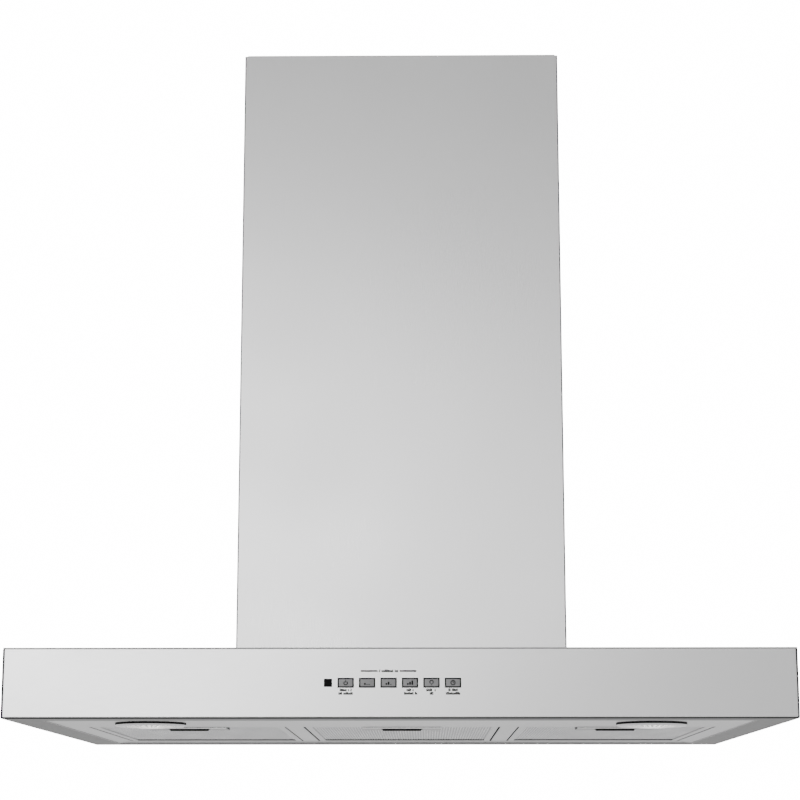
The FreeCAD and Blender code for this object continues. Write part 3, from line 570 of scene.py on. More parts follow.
# --------------------------------------------------------------------------- making pieces
class Bench:
    """Turns surfaces and frame nodes into finished pieces."""

    def __init__(self) -> None:
        """Keep each finish's material so that it is made once."""
        self.made: dict = {}
        bodies = frame["record"]["behaviour"]["bodies"]
        self.body_of = {node: body for body, nodes in bodies.items() for node in nodes}
        self.slot_of = {item["node"]: item["material_slot"] for item in frame["record"]["subparts"]}

    def finish(self, look: object) -> bpy.types.Material:
        """Material of a finish, made on first use."""
        if look not in self.made:
            self.made[look] = look.material()
        return self.made[look]

    def place(
        self,
        name: str,
        mesh: bpy.types.Mesh,
        looks: Sequence[object],
        nodes: Sequence[str],
        angle: Optional[float],
    ) -> bpy.types.Object:
        """Put a mesh into the scene as a piece that stands for frame nodes.

        Args:
            name: Piece name.
            mesh: Finished mesh.
            looks: Finishes, one per material slot.
            nodes: Frame nodes it replaces or, with a leading +, only rides with.
            angle: Edge angle in degrees above which an edge stays sharp; None keeps the mesh's own normals.

        Returns:
            The object.
        """
        mesh.materials.clear()
        for look in looks:
            mesh.materials.append(self.finish(look))
        if angle is not None:
            mesh.shade_smooth()
            mesh.set_sharp_from_angle(angle=math.radians(angle))
        piece = bpy.data.objects.new(name, mesh)
        bpy.context.scene.collection.objects.link(piece)
        main = nodes[0].lstrip("+")
        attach(piece, self.body_of[main])
        hidden = [node for node in nodes if not node.startswith("+")]
        if hidden:
            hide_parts(*hidden)
        return piece

    def shape(
        self,
        name: str,
        surface: Surface,
        look: object,
        nodes: Sequence[str],
        angle: float = 35.0,
    ) -> bpy.types.Object:
        """Piece from one numpy surface.

        Args:
            name: Piece name.
            surface: The shape.
            look: Its finish.
            nodes: Frame nodes, as in place.
            angle: Sharp edge angle.

        Returns:
            The object.
        """
        mesh = bpy.data.meshes.new(name)
        mesh.from_pydata(surface.points.tolist(), [], surface.faces)
        mesh.validate()
        mesh.update()
        LOG.info("piece %s: %d faces", name, len(mesh.polygons))
        return self.place(name, mesh, [look], nodes, angle)

    def soften(
        self,
        node: str,
        look: object,
        width: float = 0.3,
        segments: int = 2,
        extras: Sequence[tuple] = (),
    ) -> bpy.types.Object:
        """Copy of a frame node with rounded edges and face normals weighted by area.

        Args:
            node: Frame node.
            look: Finish.
            width: Edge rounding in millimetres.
            segments: Steps round each edge.
            extras: Pairs of a finish and the rule that picks its faces from their centres and normals.

        Returns:
            The object.
        """
        name = node + "_finished"
        work = bmesh.new()
        work.from_mesh(frame["nodes"][node].data)
        bmesh.ops.remove_doubles(work, verts=work.verts[:], dist=1e-6)
        flat = math.radians(0.4)
        bmesh.ops.dissolve_limit(work, angle_limit=flat, verts=work.verts[:], edges=work.edges[:])
        self.weigh_edges(work)
        mesh = bpy.data.meshes.new(name + "_work")
        work.to_mesh(mesh)
        work.free()
        result = self.baked(name, mesh, width * MILLI, segments)
        return self.dressed(name, result, look, [node], extras)

    def baked(self, name: str, mesh: bpy.types.Mesh, width: float, segments: int) -> bpy.types.Mesh:
        """Round the weighted edges of a mesh and weight its normals by face area.

        Args:
            name: Name of the result.
            mesh: Mesh to work on; it is removed afterwards.
            width: Width of a full bevel, 0 for none.
            segments: Steps round each edge.

        Returns:
            The finished mesh.
        """
        mesh.shade_smooth()
        carrier = bpy.data.objects.new(name + "_work", mesh)
        bpy.context.scene.collection.objects.link(carrier)
        if width:
            bevel = carrier.modifiers.new("edge", "BEVEL")
            bevel.width = width
            bevel.segments = segments
            bevel.limit_method = "WEIGHT"
        weighted = carrier.modifiers.new("normals", "WEIGHTED_NORMAL")
        weighted.mode = "FACE_AREA"
        weighted.weight = 100
        bpy.context.view_layer.update()
        evaluated = carrier.evaluated_get(bpy.context.evaluated_depsgraph_get())
        result = bpy.data.meshes.new_from_object(evaluated)
        result.name = name
        bpy.data.objects.remove(carrier)
        bpy.data.meshes.remove(mesh)
        return result

    def dressed(
        self,
        name: str,
        mesh: bpy.types.Mesh,
        look: object,
        nodes: Sequence[str],
        extras: Sequence[tuple],
    ) -> bpy.types.Object:
        """Place a baked mesh whose faces may carry several finishes.

        Args:
            name: Piece name.
            mesh: Baked mesh.
            look: Main finish.
            nodes: Frame nodes, as in place.
            extras: Pairs of a finish and the rule that picks its faces.

        Returns:
            The object.
        """
        LOG.info("piece %s: %d faces", name, len(mesh.polygons))
        piece = self.place(name, mesh, [look] + [extra[0] for extra in extras], nodes, None)
        centres = np.array([polygon.center[:] for polygon in mesh.polygons])
        normals = np.array([polygon.normal[:] for polygon in mesh.polygons])
        index = np.zeros(len(centres), np.int32)
        for number, (_, pick) in enumerate(extras):
            index[pick(centres, normals)] = number + 1
        mesh.polygons.foreach_set("material_index", index)
        return piece

    def folded(
        self,
        name: str,
        surface: Surface,
        look: object,
        nodes: Sequence[str],
        extras: Sequence[tuple],
    ) -> bpy.types.Object:
        """Piece of folded sheet from one surface, with normals weighted by area.

        Args:
            name: Piece name.
            surface: The shape.
            look: Main finish.
            nodes: Frame nodes, as in place.
            extras: Pairs of a finish and the rule that picks its faces.

        Returns:
            The object.
        """
        mesh = bpy.data.meshes.new(name + "_work")
        mesh.from_pydata(surface.points.tolist(), [], surface.faces)
        mesh.validate()
        return self.dressed(name, self.baked(name, mesh, 0.0, 1), look, nodes, extras)

    def weigh_edges(self, work: bmesh.types.BMesh) -> None:
        """Give each sharp edge a full bevel weight.

        Args:
            work: Mesh being edited.
        """
        layer = work.edges.layers.float.new("bevel_weight_edge")
        for edge in work.edges:
            if len(edge.link_faces) == 2 and edge.calc_face_angle() >= SHARP_FOLD:
                edge[layer] = 1.0


def node_box(node: str) -> tuple:
    """Lowest corner, highest corner and centre of a frame node at rest."""
    low, high = (np.array(corner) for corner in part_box(node))
    return low, high, (low + high) / 2


# --------------------------------------------------------------------------- canopy
def bends(centres: Array, normals: Array) -> Array:
    """Faces that lie on a bend: no axis holds nearly all of the normal."""
    return np.abs(normals).max(axis=1) < FLAT


@dataclass
class Canopy:
    """Box canopy: wrapped wall, top sheet and bottom panel."""

    bench: Bench
    wall: BrushedSteel = BrushedSteel("canopy_brushed", Grain.ALONG_X, tone=0.52)
    # The two bend finishes are painted shade: near-black and dark grey tones standing in for the dark
    # surroundings the bends reflect.
    bend: BentEdge = BentEdge("canopy_bend_painted_shade", 0.04, 0.3, 0.1)
    top_bend: BentEdge = BentEdge("canopy_top_bend_painted_shade", 0.28)
    rim: BentEdge = BentEdge("canopy_rim", 0.46, 0.34, 0.4)
    under: BrushedSteel = BrushedSteel("panel_brushed", Grain.ALONG_X, tone=0.62, roughness=0.34)
    # The panel's bend finish is painted shade: a dark tone standing in for the dark surroundings its bends
    # reflect.
    under_bend_shade: BentEdge = BentEdge("panel_bend_painted_shade", 0.12)
    sheet: float = 1.0 * MILLI
    flange: float = 42.0 * MILLI
    lip: float = 12.0 * MILLI
    corner: float = 3.2 * MILLI
    rim_bend: float = 2.3 * MILLI
    lip_bend: float = 1.1 * MILLI
    hole_gap: float = 0.3 * MILLI

    def build(self) -> None:
        """Make the three sheets."""
        self.shell()
        self.bench.soften("canopy_top", self.wall, 0.3)
        self.bench.soften("bottom_panel", self.under, 0.4, 2, [(self.under_bend_shade, bends)])

    def section(self) -> list:
        """Closed section of the wrapped wall.

        Returns:
            Pairs of inset and height above the rim.
        """
        low, high, _ = node_box("canopy_shell")
        tall = high[2] - low[2]
        turn = np.linspace(0.0, math.pi / 2, 6)
        rim = [(self.rim_bend * (1 - math.sin(a)), self.rim_bend * (1 - math.cos(a))) for a in turn]
        top = [(self.lip_bend * (1 - math.cos(a)), tall - self.lip_bend * (1 - math.sin(a))) for a in turn]
        inside = [(self.lip, tall), (self.lip, tall - self.sheet), (self.sheet, tall - self.sheet)]
        inside += [(self.sheet, self.sheet), (self.flange, self.sheet), (self.flange, 0.0)]
        return rim + top + inside

    def shell(self) -> None:
        """Sweep the section round the rounded rectangle and open the front wall for the controls."""
        low, high, centre = node_box("canopy_shell")
        width, depth = high[0] - low[0], high[1] - low[1]
        loops = []
        for inset, level in self.section():
            outline = rounded_rectangle(width - 2 * inset, depth - 2 * inset, self.corner - inset, 6)
            loops.append(np.column_stack([outline, np.full(len(outline), low[2] + level)]))
        loops = np.array(loops)
        rows, columns = loops.shape[:2]
        quads = np.array(grid_quads(rows, columns, close_rows=True))
        points = loops.reshape(-1, 3)
        spans = points[quads]
        tall = np.ptp(spans[..., 2], axis=1) > 0.9 * (high[2] - low[2])
        front = (np.ptp(spans[..., 0], axis=1) > 0.9 * width) & (spans[..., 1].max(axis=1) < centre[1]) & tall
        walls = [Surface(points, [tuple(face) for face in quads[~front].tolist()])]
        for face in quads[front]:
            corners = points[face]
            out = corners[0, 1] < low[1] + self.sheet / 2
            walls.append(self.pierced(corners[:, 0], corners[:, 2], corners[0, 1], out))
        walls.append(self.hole_sides(low[1]))
        top = high[2] - 1.2 * MILLI

        def low_bend(centres: Array, normals: Array) -> Array:
            """Bends below the top edge; their near-black tone is painted shade."""
            return bends(centres, normals) & (centres[:, 2] < top)

        def high_bend(centres: Array, normals: Array) -> Array:
            """Bends of the top edge; their darker tone is painted shade."""
            return bends(centres, normals) & (centres[:, 2] >= top)

        def rim_face(centres: Array, normals: Array) -> Array:
            """Lower face of the rim flange."""
            return (normals[:, 2] < -FLAT) & (centres[:, 2] < low[2] + 0.2 * MILLI)

        extras = [(self.bend, low_bend), (self.top_bend, high_bend), (self.rim, rim_face)]
        self.bench.folded("canopy_wall", join_surfaces(walls), self.wall, ["canopy_shell"], extras)

    def holes(self) -> list:
        """Openings of the front wall.

        Returns:
            x low, x high, z low and z high of each.
        """
        openings = []
        low, high, _ = node_box("sensor_window")
        openings.append((low[0], high[0], low[2], high[2]))
        for mark in Mark:
            _, _, centre = node_box(mark.value + "_button")
            half_x, half_z = 9.0 * MILLI + self.hole_gap, 5.3 * MILLI + self.hole_gap
            openings.append((centre[0] - half_x, centre[0] + half_x, centre[2] - half_z, centre[2] + half_z))
        return openings

    def pierced(self, across: Array, height: Array, level: float, outward: bool) -> Surface:
        """Flat wall face with the openings left out, on a grid of their edges.

        Args:
            across: x values of the face's corners.
            height: z values of the face's corners.
            level: y of the face.
            outward: The face looks to the front.

        Returns:
            The face.
        """
        openings = np.array(self.holes())
        x = np.unique(np.concatenate([[across.min(), across.max()], openings[:, 0], openings[:, 1]]).round(7))
        z = np.unique(np.concatenate([[height.min(), height.max()], openings[:, 2], openings[:, 3]]).round(7))
        grid_x, grid_z = np.meshgrid(x, z)
        points = np.stack([grid_x, np.full_like(grid_x, level), grid_z], axis=-1).reshape(-1, 3)
        quads = np.array(grid_quads(len(z), len(x), close_columns=False))
        middle = points[quads].mean(axis=1)
        inside = np.zeros(len(quads), bool)
        for x_low, x_high, z_low, z_high in openings:
            across_it = (middle[:, 0] > x_low) & (middle[:, 0] < x_high)
            inside |= across_it & (middle[:, 2] > z_low) & (middle[:, 2] < z_high)
        kept = quads[~inside] if outward else quads[~inside][:, ::-1]
        return Surface(points, [tuple(face) for face in kept.tolist()])

    def hole_sides(self, level: float) -> Surface:
        """Sheet thickness round each opening.

        Args:
            level: y of the wall's outer face.

        Returns:
            The sides.
        """
        sides = []
        for x_low, x_high, z_low, z_high in self.holes():
            outline = np.array([(x_low, z_low), (x_high, z_low), (x_high, z_high), (x_low, z_high)])
            outer = np.column_stack([outline[:, 0], np.full(4, level), outline[:, 1]])
            inner = outer + np.array([0.0, self.sheet, 0.0])
            sides.append(Surface(np.vstack([outer, inner]), grid_quads(2, 4)).turned_over())
        return join_surfaces(sides)


# --------------------------------------------------------------------------- controls
class Mark(Enum):
    """Pictogram on a push button."""

    POWER = "power"
    LOW = "speed_low"
    MEDIUM = "speed_medium"
    HIGH = "speed_high"
    LAMP = "lamp"
    TIMER = "timer"


@dataclass
class ControlPanel:
    """Six push buttons, their pictograms and print, and the dark receiver window."""

    bench: Bench
    cap: Moulding = Moulding("button_satin", (0.235, 0.235, 0.24), 0.38, 2500.0, 0.00001)
    rim: Moulding = Moulding("button_surround", (0.006, 0.006, 0.006), 0.6, gloss=0.15)
    ink: Moulding = Moulding("black_ink", (0.004, 0.004, 0.004), 0.7, gloss=0.05)
    window: Moulding = Moulding("window_black", (0.002, 0.002, 0.002), 0.5, 300.0, 0.000002, 0.08)
    tray: Moulding = Moulding("tray_black", (0.03, 0.03, 0.032), 0.5)
    board: Moulding = Moulding("board_green", (0.02, 0.16, 0.06), 0.35, 600.0, 0.00002)
    line_width: float = 1.05 * MILLI
    ink_height: float = 0.05 * MILLI
    legend_lengths: dict = field(
        default_factory=lambda: {"power": (14, 17), "speed_high": (9, 17), "lamp": (13, 5), "timer": (11, 17)}
    )

    def build(self) -> None:
        """Make the buttons, print and parts behind the wall."""
        for mark in Mark:
            self.button(mark)
        self.legends()
        self.receiver()
        self.bench.soften("control_housing", self.tray, 0.4)
        self.bench.soften("control_board", self.board, 0.15)

    def button(self, mark: Mark) -> None:
        """Cap with a rounded edge, its dark surround, flange and pictogram.

        Args:
            mark: Which button.
        """
        node = mark.value + "_button"
        low, high, centre = node_box(node)
        wall = node_box("canopy_shell")[0][1]
        width, height = 18.0 * MILLI, 10.6 * MILLI
        proud = wall - low[1]
        cap_inset = 1.25 * MILLI
        front = [(0.0, -3.4 * MILLI)] + soft_edge(-3.3 * MILLI, proud - 0.25 * MILLI, 0.35 * MILLI)[1:]
        surround = plate_solid(width, height, 1.2 * MILLI, front)
        raised = soft_edge(0.0, proud, 0.3 * MILLI)
        face = plate_solid(width - 2 * cap_inset, height - 2 * cap_inset, 0.8 * MILLI, raised)
        flange_high = proud - 2.3 * MILLI
        layers = [(0.0, flange_high - 1.2 * MILLI), (0.0, flange_high)]
        flange = plate_solid(high[0] - low[0], high[2] - low[2], 1.4 * MILLI, layers)
        radius, foot = 2.0 * MILLI, wall - high[1]
        stem = revolve(np.array([(0.0, foot), (radius, foot), (radius, flange_high), (0.0, flange_high)]), 20)
        spot = (centre[0], wall, centre[2])
        base = join_surfaces([surround, flange, stem]).mapped(face_front).moved(spot)
        self.bench.shape(node + "_surround", base, self.rim, [node])
        self.bench.shape(node + "_cap", face.mapped(face_front).moved(spot), self.cap, ["+" + node])
        sign = join_surfaces(self.pictogram(mark)).mapped(face_front).moved((centre[0], low[1], centre[2]))
        self.bench.shape(node + "_sign", sign, self.ink, ["+" + node])

    def bar(self, x: float, y: float, width: float, height: float) -> Surface:
        """Thin printed bar, in millimetres.

        Args:
            x: Middle.
            y: Middle.
            width: Size along x.
            height: Size along y.

        Returns:
            The bar, facing +Z.
        """
        layers = [(0.0, -self.ink_height), (0.0, self.ink_height)]
        solid = plate_solid(width * MILLI, height * MILLI, 0.12 * MILLI, layers)
        return solid.moved((x * MILLI, y * MILLI, 0.0))

    def arc(self, x: float, y: float, radius: float, start: float, end: float) -> Surface:
        """Thin printed arc: a flat ribbon whose middle line is a circle, in millimetres and degrees.

        Args:
            x: Centre.
            y: Centre.
            radius: Radius of the middle line.
            start: First angle.
            end: Last angle.

        Returns:
            The arc, facing +Z.
        """
        steps = 24
        angle = np.radians(np.linspace(start, end, steps))
        half = self.line_width / 2
        loops = []
        for shift, level in ((-half, -1), (-half, 1), (half, 1), (half, -1)):
            size = radius * MILLI + shift
            line = [x * MILLI + size * np.cos(angle), y * MILLI + size * np.sin(angle)]
            loops.append(np.stack(line + [np.full(steps, level * self.ink_height)], axis=-1))
        ring = np.stack(loops, axis=1)
        return loft(ring)

    def pictogram(self, mark: Mark) -> list:
        """Generic sign for one button.

        Args:
            mark: Which button.

        Returns:
            Thin shells about the origin, facing +Z.
        """
        if mark is Mark.POWER:
            return [self.arc(0, -0.4, 2.0, 125, 415), self.bar(0, 1.5, 0.9, 2.3)]
        if mark in (Mark.LOW, Mark.MEDIUM, Mark.HIGH):
            count = {Mark.LOW: 1, Mark.MEDIUM: 2, Mark.HIGH: 3}[mark]
            bars = []
            for step in range(3):
                tall = 2.0 + 1.4 * step
                if step < count:
                    bars.append(self.bar(-2.5 + 2.5 * step, -2.4 + tall / 2, 1.7, tall))
                else:
                    bars.append(self.bar(-2.5 + 2.5 * step, -2.1, 1.7, 0.6))
            return bars
        if mark is Mark.LAMP:
            return [self.arc(0, 0.7, 1.9, -50, 230), self.bar(0, -1.4, 2.2, 0.7), self.bar(0, -2.6, 1.5, 0.7)]
        return [self.arc(0, 0, 2.4, 0, 359), self.bar(0, 0.85, 0.8, 1.8), self.bar(0.6, 0.0, 1.6, 0.8)]

    def dash_row(self, x: float, y: float, length: float, seed: int) -> list:
        """Row of short uneven dashes centred at (x, y), in millimetres.

        Args:
            x: Middle of the row.
            y: Height of the row.
            length: Length of the row.
            seed: Picks the unevenness.

        Returns:
            Thin shells.
        """
        draw = np.random.default_rng(seed)
        count = int(length / 1.35)
        places = x + (np.arange(count) + 0.5 - count / 2) * 1.35
        heights = draw.choice([2.0, 2.4, 2.8], count)
        dashes = []
        for place, tall in zip(places, heights):
            if draw.random() > 0.12:
                dashes.append(self.bar(place, y + (tall - 2.0) / 2, 1.25, tall + 0.3))
        return dashes

    def legends(self) -> None:
        """Black print on the wall: a heading rule over the speeds and short dashes under four buttons."""
        wall = node_box("canopy_shell")[0][1]
        middle = node_box("speed_medium_button")[2]
        pitch = (node_box("speed_high_button")[2][0] - middle[0]) / MILLI
        heading = [self.bar(side * 21.9, 13.2, 19.0, 1.8) for side in (-1, 1)]
        heading += self.dash_row(0.0, 13.0, 22.0, 3)
        dashes = []
        for number, mark in enumerate(Mark):
            if mark in (Mark.LOW, Mark.MEDIUM):
                continue
            for row, length in enumerate(self.legend_lengths[mark.value]):
                dashes += self.dash_row((number - 2) * pitch, -8.3 - 3.9 * row, length, 10 * number + row)
        print_all = join_surfaces(heading + dashes).mapped(face_front).moved((middle[0], wall, middle[2]))
        self.bench.shape("panel_print", print_all, self.ink, ["+canopy_shell"])

    def receiver(self) -> None:
        """Small dark square window with a softly rounded face."""
        low, high, centre = node_box("sensor_window")
        size = high[0] - low[0]
        depth = high[1] - low[1]
        solid = plate_solid(size, size, 0.8 * MILLI, soft_edge(-depth, 0.0, 0.35 * MILLI))
        placed = solid.mapped(face_front).moved((centre[0], low[1], centre[2]))
        self.bench.shape("receiver_window", placed, self.window, ["sensor_window"])


# --------------------------------------------------------------------------- filters
@dataclass
class GreaseFilter:
    """One drop-down filter: frame, expanded mesh, latch plate, latch and spring."""

    bench: Bench
    place: str
    frame_look: BrushedSteel = BrushedSteel("filter_frame_satin", Grain.ALONG_Y, 0.6, 0.36)
    # The channel walls' near-black tone is painted shade in the frame's recesses.
    shade: BentEdge = BentEdge("frame_channel", 0.05)
    mesh_look: PlainMetal = PlainMetal("expanded_aluminium", (0.60, 0.60, 0.61), 0.36, 900.0)
    # Near-white ribs are a painted highlight and the darker core is painted shade: one aluminium in three
    # tones by how exposed each layer lies.
    painted_highlight_look: PlainMetal = PlainMetal("rib_painted_highlight", (0.97, 0.97, 0.97), 0.22, 900.0)
    core_shade_look: PlainMetal = PlainMetal("mesh_core", (0.42, 0.42, 0.43), 0.5, 500.0)
    plate_look: BrushedSteel = BrushedSteel("latch_plate_satin", Grain.ALONG_X, 0.40, 0.42)
    slide_look: Moulding = Moulding("latch_black", (0.006, 0.006, 0.006), 0.5, gloss=0.15)
    wire_look: PlainMetal = PlainMetal("spring_wire", (0.6, 0.6, 0.6), 0.25)
    pitch: float = 3.5 * MILLI
    half_diamond: float = 4.2 * MILLI
    strand: float = 1.5 * MILLI
    rib: float = 2.3 * MILLI
    pocket_half: float = 26.0 * MILLI
    gauge: float = 0.5 * MILLI
    latch_travel: float = 6.0 * MILLI

    def build(self) -> None:
        """Make every piece of the filter."""

        def upright(centres: Array, normals: Array) -> Array:
            """Channel walls that face the front or the rear; their near-black tone is painted shade."""
            return (np.abs(normals[:, 2]) < 0.5) & (np.abs(normals[:, 0]) < 0.5)

        self.bench.soften("filter_frame_" + self.place, self.frame_look, 0.5, 3, [(self.shade, upright)])
        self.mesh_layers()
        self.latch_plate()
        self.bench.soften("latch_slider_" + self.place, self.slide_look, 0.3)
        self.spring()

    def latch_plate(self) -> None:
        """Satin plate whose pocket walls and the faces above it are painted black as painted shade, with a
        painted highlight on its front edge.
        """
        node = "latch_plate_" + self.place
        low, _, centre = node_box(node)

        def housing(centres: Array, normals: Array) -> Array:
            """Faces above the plate and the walls of its finger pocket, painted black as painted shade.

            Args:
                centres: Face centres.
                normals: Face normals.

            Returns:
                True for the faces picked.
            """
            above = centres[:, 2] > low[2] + 1.9 * MILLI
            pocket = np.abs(centres[:, 0] - centre[0]) < self.pocket_half
            pocket &= (centres[:, 1] > low[1] + 7.0 * MILLI) & (centres[:, 1] < low[1] + 34.0 * MILLI)
            upright = pocket & (np.abs(normals[:, 2]) < 0.9)
            front = (normals[:, 1] < -0.9) & (centres[:, 1] < low[1] + 1.0 * MILLI)
            return (above & ~front) | upright

        def front_edge_highlight(centres: Array, normals: Array) -> Array:
            """Front edge of the plate, given bright aluminium as a painted highlight."""
            return (normals[:, 1] < -0.3) & (centres[:, 1] < low[1] + 1.0 * MILLI)

        # The black on these faces is painted shade, and the bright aluminium on the front edge is a painted
        # highlight.
        extras = [(self.slide_look, housing), (self.painted_highlight_look, front_edge_highlight)]
        self.bench.soften(node, self.plate_look, 0.35, 2, extras)

    def lattice(self, low: Array, high: Array, notch: tuple, level: float, facing: float) -> Surface:
        """Expanded metal: strands that run front to rear and touch their neighbours at each peak.

        Strand j follows x = (j + 1/2) p + (-1)^j a t(y), where t is a triangle wave of y, and each has a
        raised middle line. Strand pieces inside the notch are left out.

        Args:
            low: Lowest corner of the field.
            high: Highest corner of the field.
            notch: x low, x high and y high of the region kept clear.
            level: Height of the lattice's open side.
            facing: -1 when the open side looks down, 1 when it looks up.

        Returns:
            The lattice.
        """
        strands = int((high[0] - low[0]) / self.pitch)
        steps = int((high[1] - low[1]) / self.half_diamond)
        y = np.linspace(low[1], high[1], steps + 1)
        wave = np.where(np.arange(steps + 1) % 2 == 0, -0.5, 0.5)
        middles = low[0] + (high[0] - low[0]) * (np.arange(strands) + 0.5) / strands
        sign = np.where(np.arange(strands) % 2 == 0, 1.0, -1.0)
        reach = self.pitch - self.strand * 0.8
        x = middles[:, None] + sign[:, None] * wave[None, :] * reach
        half = self.strand / 2
        points = np.empty((strands, steps + 1, 3, 3))
        points[..., 0] = x[..., None] + np.array([-half, 0.0, half])
        points[..., 1] = y[None, :, None]
        points[..., 2] = level - facing * self.gauge * np.array([1.0, 0.0, 1.0])
        number = np.arange(strands * (steps + 1) * 3).reshape(strands, steps + 1, 3)
        middle_y = (y[:-1] + y[1:]) / 2
        beside = (middles[:, None] > notch[0]) & (middles[:, None] < notch[1])
        inside = beside & (middle_y[None, :] < notch[2])
        faces = []
        for side in (0, 1, 2):
            other = (side + 1) % 3
            quad = [number[:, :-1, side], number[:, 1:, side], number[:, 1:, other], number[:, :-1, other]]
            if facing > 0:
                quad.reverse()
            faces.append(np.stack(quad, axis=-1)[~inside])
        return Surface(points.reshape(-1, 3), [tuple(face) for face in np.vstack(faces).tolist()])

    def ribs(self, low: Array, high: Array, notch: tuple) -> Surface:
        """Straight ribs that bind the strands: a tent section whose width swells and narrows slowly.

        The half width is w (0.35 + 0.65 s) / 2 with s = 0.55 + 0.45 sin(a x + c) sin(b y + d x), so that each
        rib comes and goes.

        Args:
            low: Lowest corner of the field.
            high: Highest corner of the field.
            notch: x low, x high and y high of the region kept clear.

        Returns:
            The ribs.
        """
        strands = int((high[0] - low[0]) / self.pitch)
        steps = 36
        middles = low[0] + (high[0] - low[0]) * (np.arange(strands) + 0.5) / strands
        middles = middles[:, None]
        start = np.where((middles > notch[0] - self.rib) & (middles < notch[1] + self.rib), notch[2], low[1])
        y = start + (high[1] - start) * np.linspace(0.0, 1.0, steps + 1)[None, :]
        swell = 0.55 + 0.45 * np.sin(middles * 95.0 + 0.6) * np.sin(y * 23.0 + middles * 40.0)
        half = self.rib / 2 * (0.35 + 0.65 * swell)
        crest = low[2] + 0.05 * MILLI
        foot = low[2] + 0.45 * MILLI
        points = np.empty((strands, steps + 1, 4, 3))
        points[..., 0] = middles[..., None] + half[..., None] * np.array([-1.0, -0.45, 0.45, 1.0])
        points[..., 1] = y[..., None]
        points[..., 2] = np.array([foot, crest, crest, foot])
        number = np.arange(strands * (steps + 1) * 4).reshape(strands, steps + 1, 4)
        faces = []
        for side in range(4):
            other = (side + 1) % 4
            quad = [number[:, :-1, side], number[:, 1:, side], number[:, 1:, other], number[:, :-1, other]]
            faces.append(np.stack(quad, axis=-1).reshape(-1, 4))
        return Surface(points.reshape(-1, 3), [tuple(face) for face in np.vstack(faces).tolist()])

    def core(self, low: Array, high: Array, notch: tuple) -> Surface:
        """Crumpled middle layers: a grid whose height is a product of two sine waves.

        Args:
            low: Lowest corner.
            high: Highest corner.
            notch: x low, x high and y high of the region kept clear.

        Returns:
            Thin pad: an upper and a lower sheet, open at the edges.
        """
        columns, rows = 72, 120
        x = np.linspace(low[0], high[0], columns + 1)
        y = np.linspace(low[1], high[1], rows + 1)
        grid_x, grid_y = np.meshgrid(x, y)
        swell = 0.35 * MILLI * np.sin(grid_x / MILLI * 1.9) * np.sin(grid_y / MILLI * 1.4)
        top = np.stack([grid_x, grid_y, high[2] - 0.9 * MILLI + swell], axis=-1).reshape(-1, 3)
        bottom = np.stack([grid_x, grid_y, low[2] + 0.9 * MILLI + swell], axis=-1).reshape(-1, 3)
        middle_x = (x[:-1] + x[1:]) / 2
        middle_y = (y[:-1] + y[1:]) / 2
        beside = (middle_x[None, :] > notch[0]) & (middle_x[None, :] < notch[1])
        keep = ~(beside & (middle_y[:, None] < notch[2]))
        quads = np.array(grid_quads(rows + 1, columns + 1, close_columns=False))
        quads = quads.reshape(rows, columns, 4)[keep]
        lower = quads[:, ::-1] + len(top)
        return Surface(np.vstack([top, bottom]), [tuple(face) for face in np.vstack([quads, lower]).tolist()])

    def mesh_layers(self) -> None:
        """Lower and upper expanded layers with the core between them; the ribs are drawn in a painted
        highlight and the core in painted shade.
        """
        node = "filter_mesh_" + self.place
        low, high, _ = node_box(node)
        plate_low, plate_high, _ = node_box("latch_plate_" + self.place)
        notch = (plate_low[0] - 0.2 * MILLI, plate_high[0] + 0.2 * MILLI, plate_high[1] + 0.2 * MILLI)
        lower = self.lattice(low, high, notch, low[2], -1.0)
        upper = self.lattice(low, high, notch, high[2], 1.0)
        self.bench.shape("lower_mesh_" + self.place, lower, self.mesh_look, [node], 20.0)
        ribs = self.ribs(low, high, notch)
        self.bench.shape("mesh_ribs_" + self.place, ribs, self.painted_highlight_look, ["+" + node], 20.0)
        self.bench.shape("upper_mesh_" + self.place, upper, self.mesh_look, ["+" + node], 20.0)
        core = self.core(low, high, notch)
        self.bench.shape("core_mesh_" + self.place, core, self.core_shade_look, ["+" + node], 60.0)

    def spring(self) -> None:
        """Compression spring: a tube along a helix."""
        node = "latch_spring_" + self.place
        low, high, centre = node_box(node)
        turns, steps = 6.0, 220
        part = np.linspace(0.0, 1.0, steps)
        wire = 0.35 * MILLI
        radius = (high[0] - low[0]) / 2 - wire
        eased = part + 0.06 * np.sin(TAU * part)
        y = low[1] + wire + (high[1] - low[1] - 2 * wire) * eased
        angle = TAU * turns * part
        path = np.stack([centre[0] + radius * np.cos(angle), y, centre[2] + radius * np.sin(angle)], axis=-1)
        coil = self.bench.shape("coil_" + self.place, tube_along(path, wire, 8), self.wire_look, [node])
        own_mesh(coil)


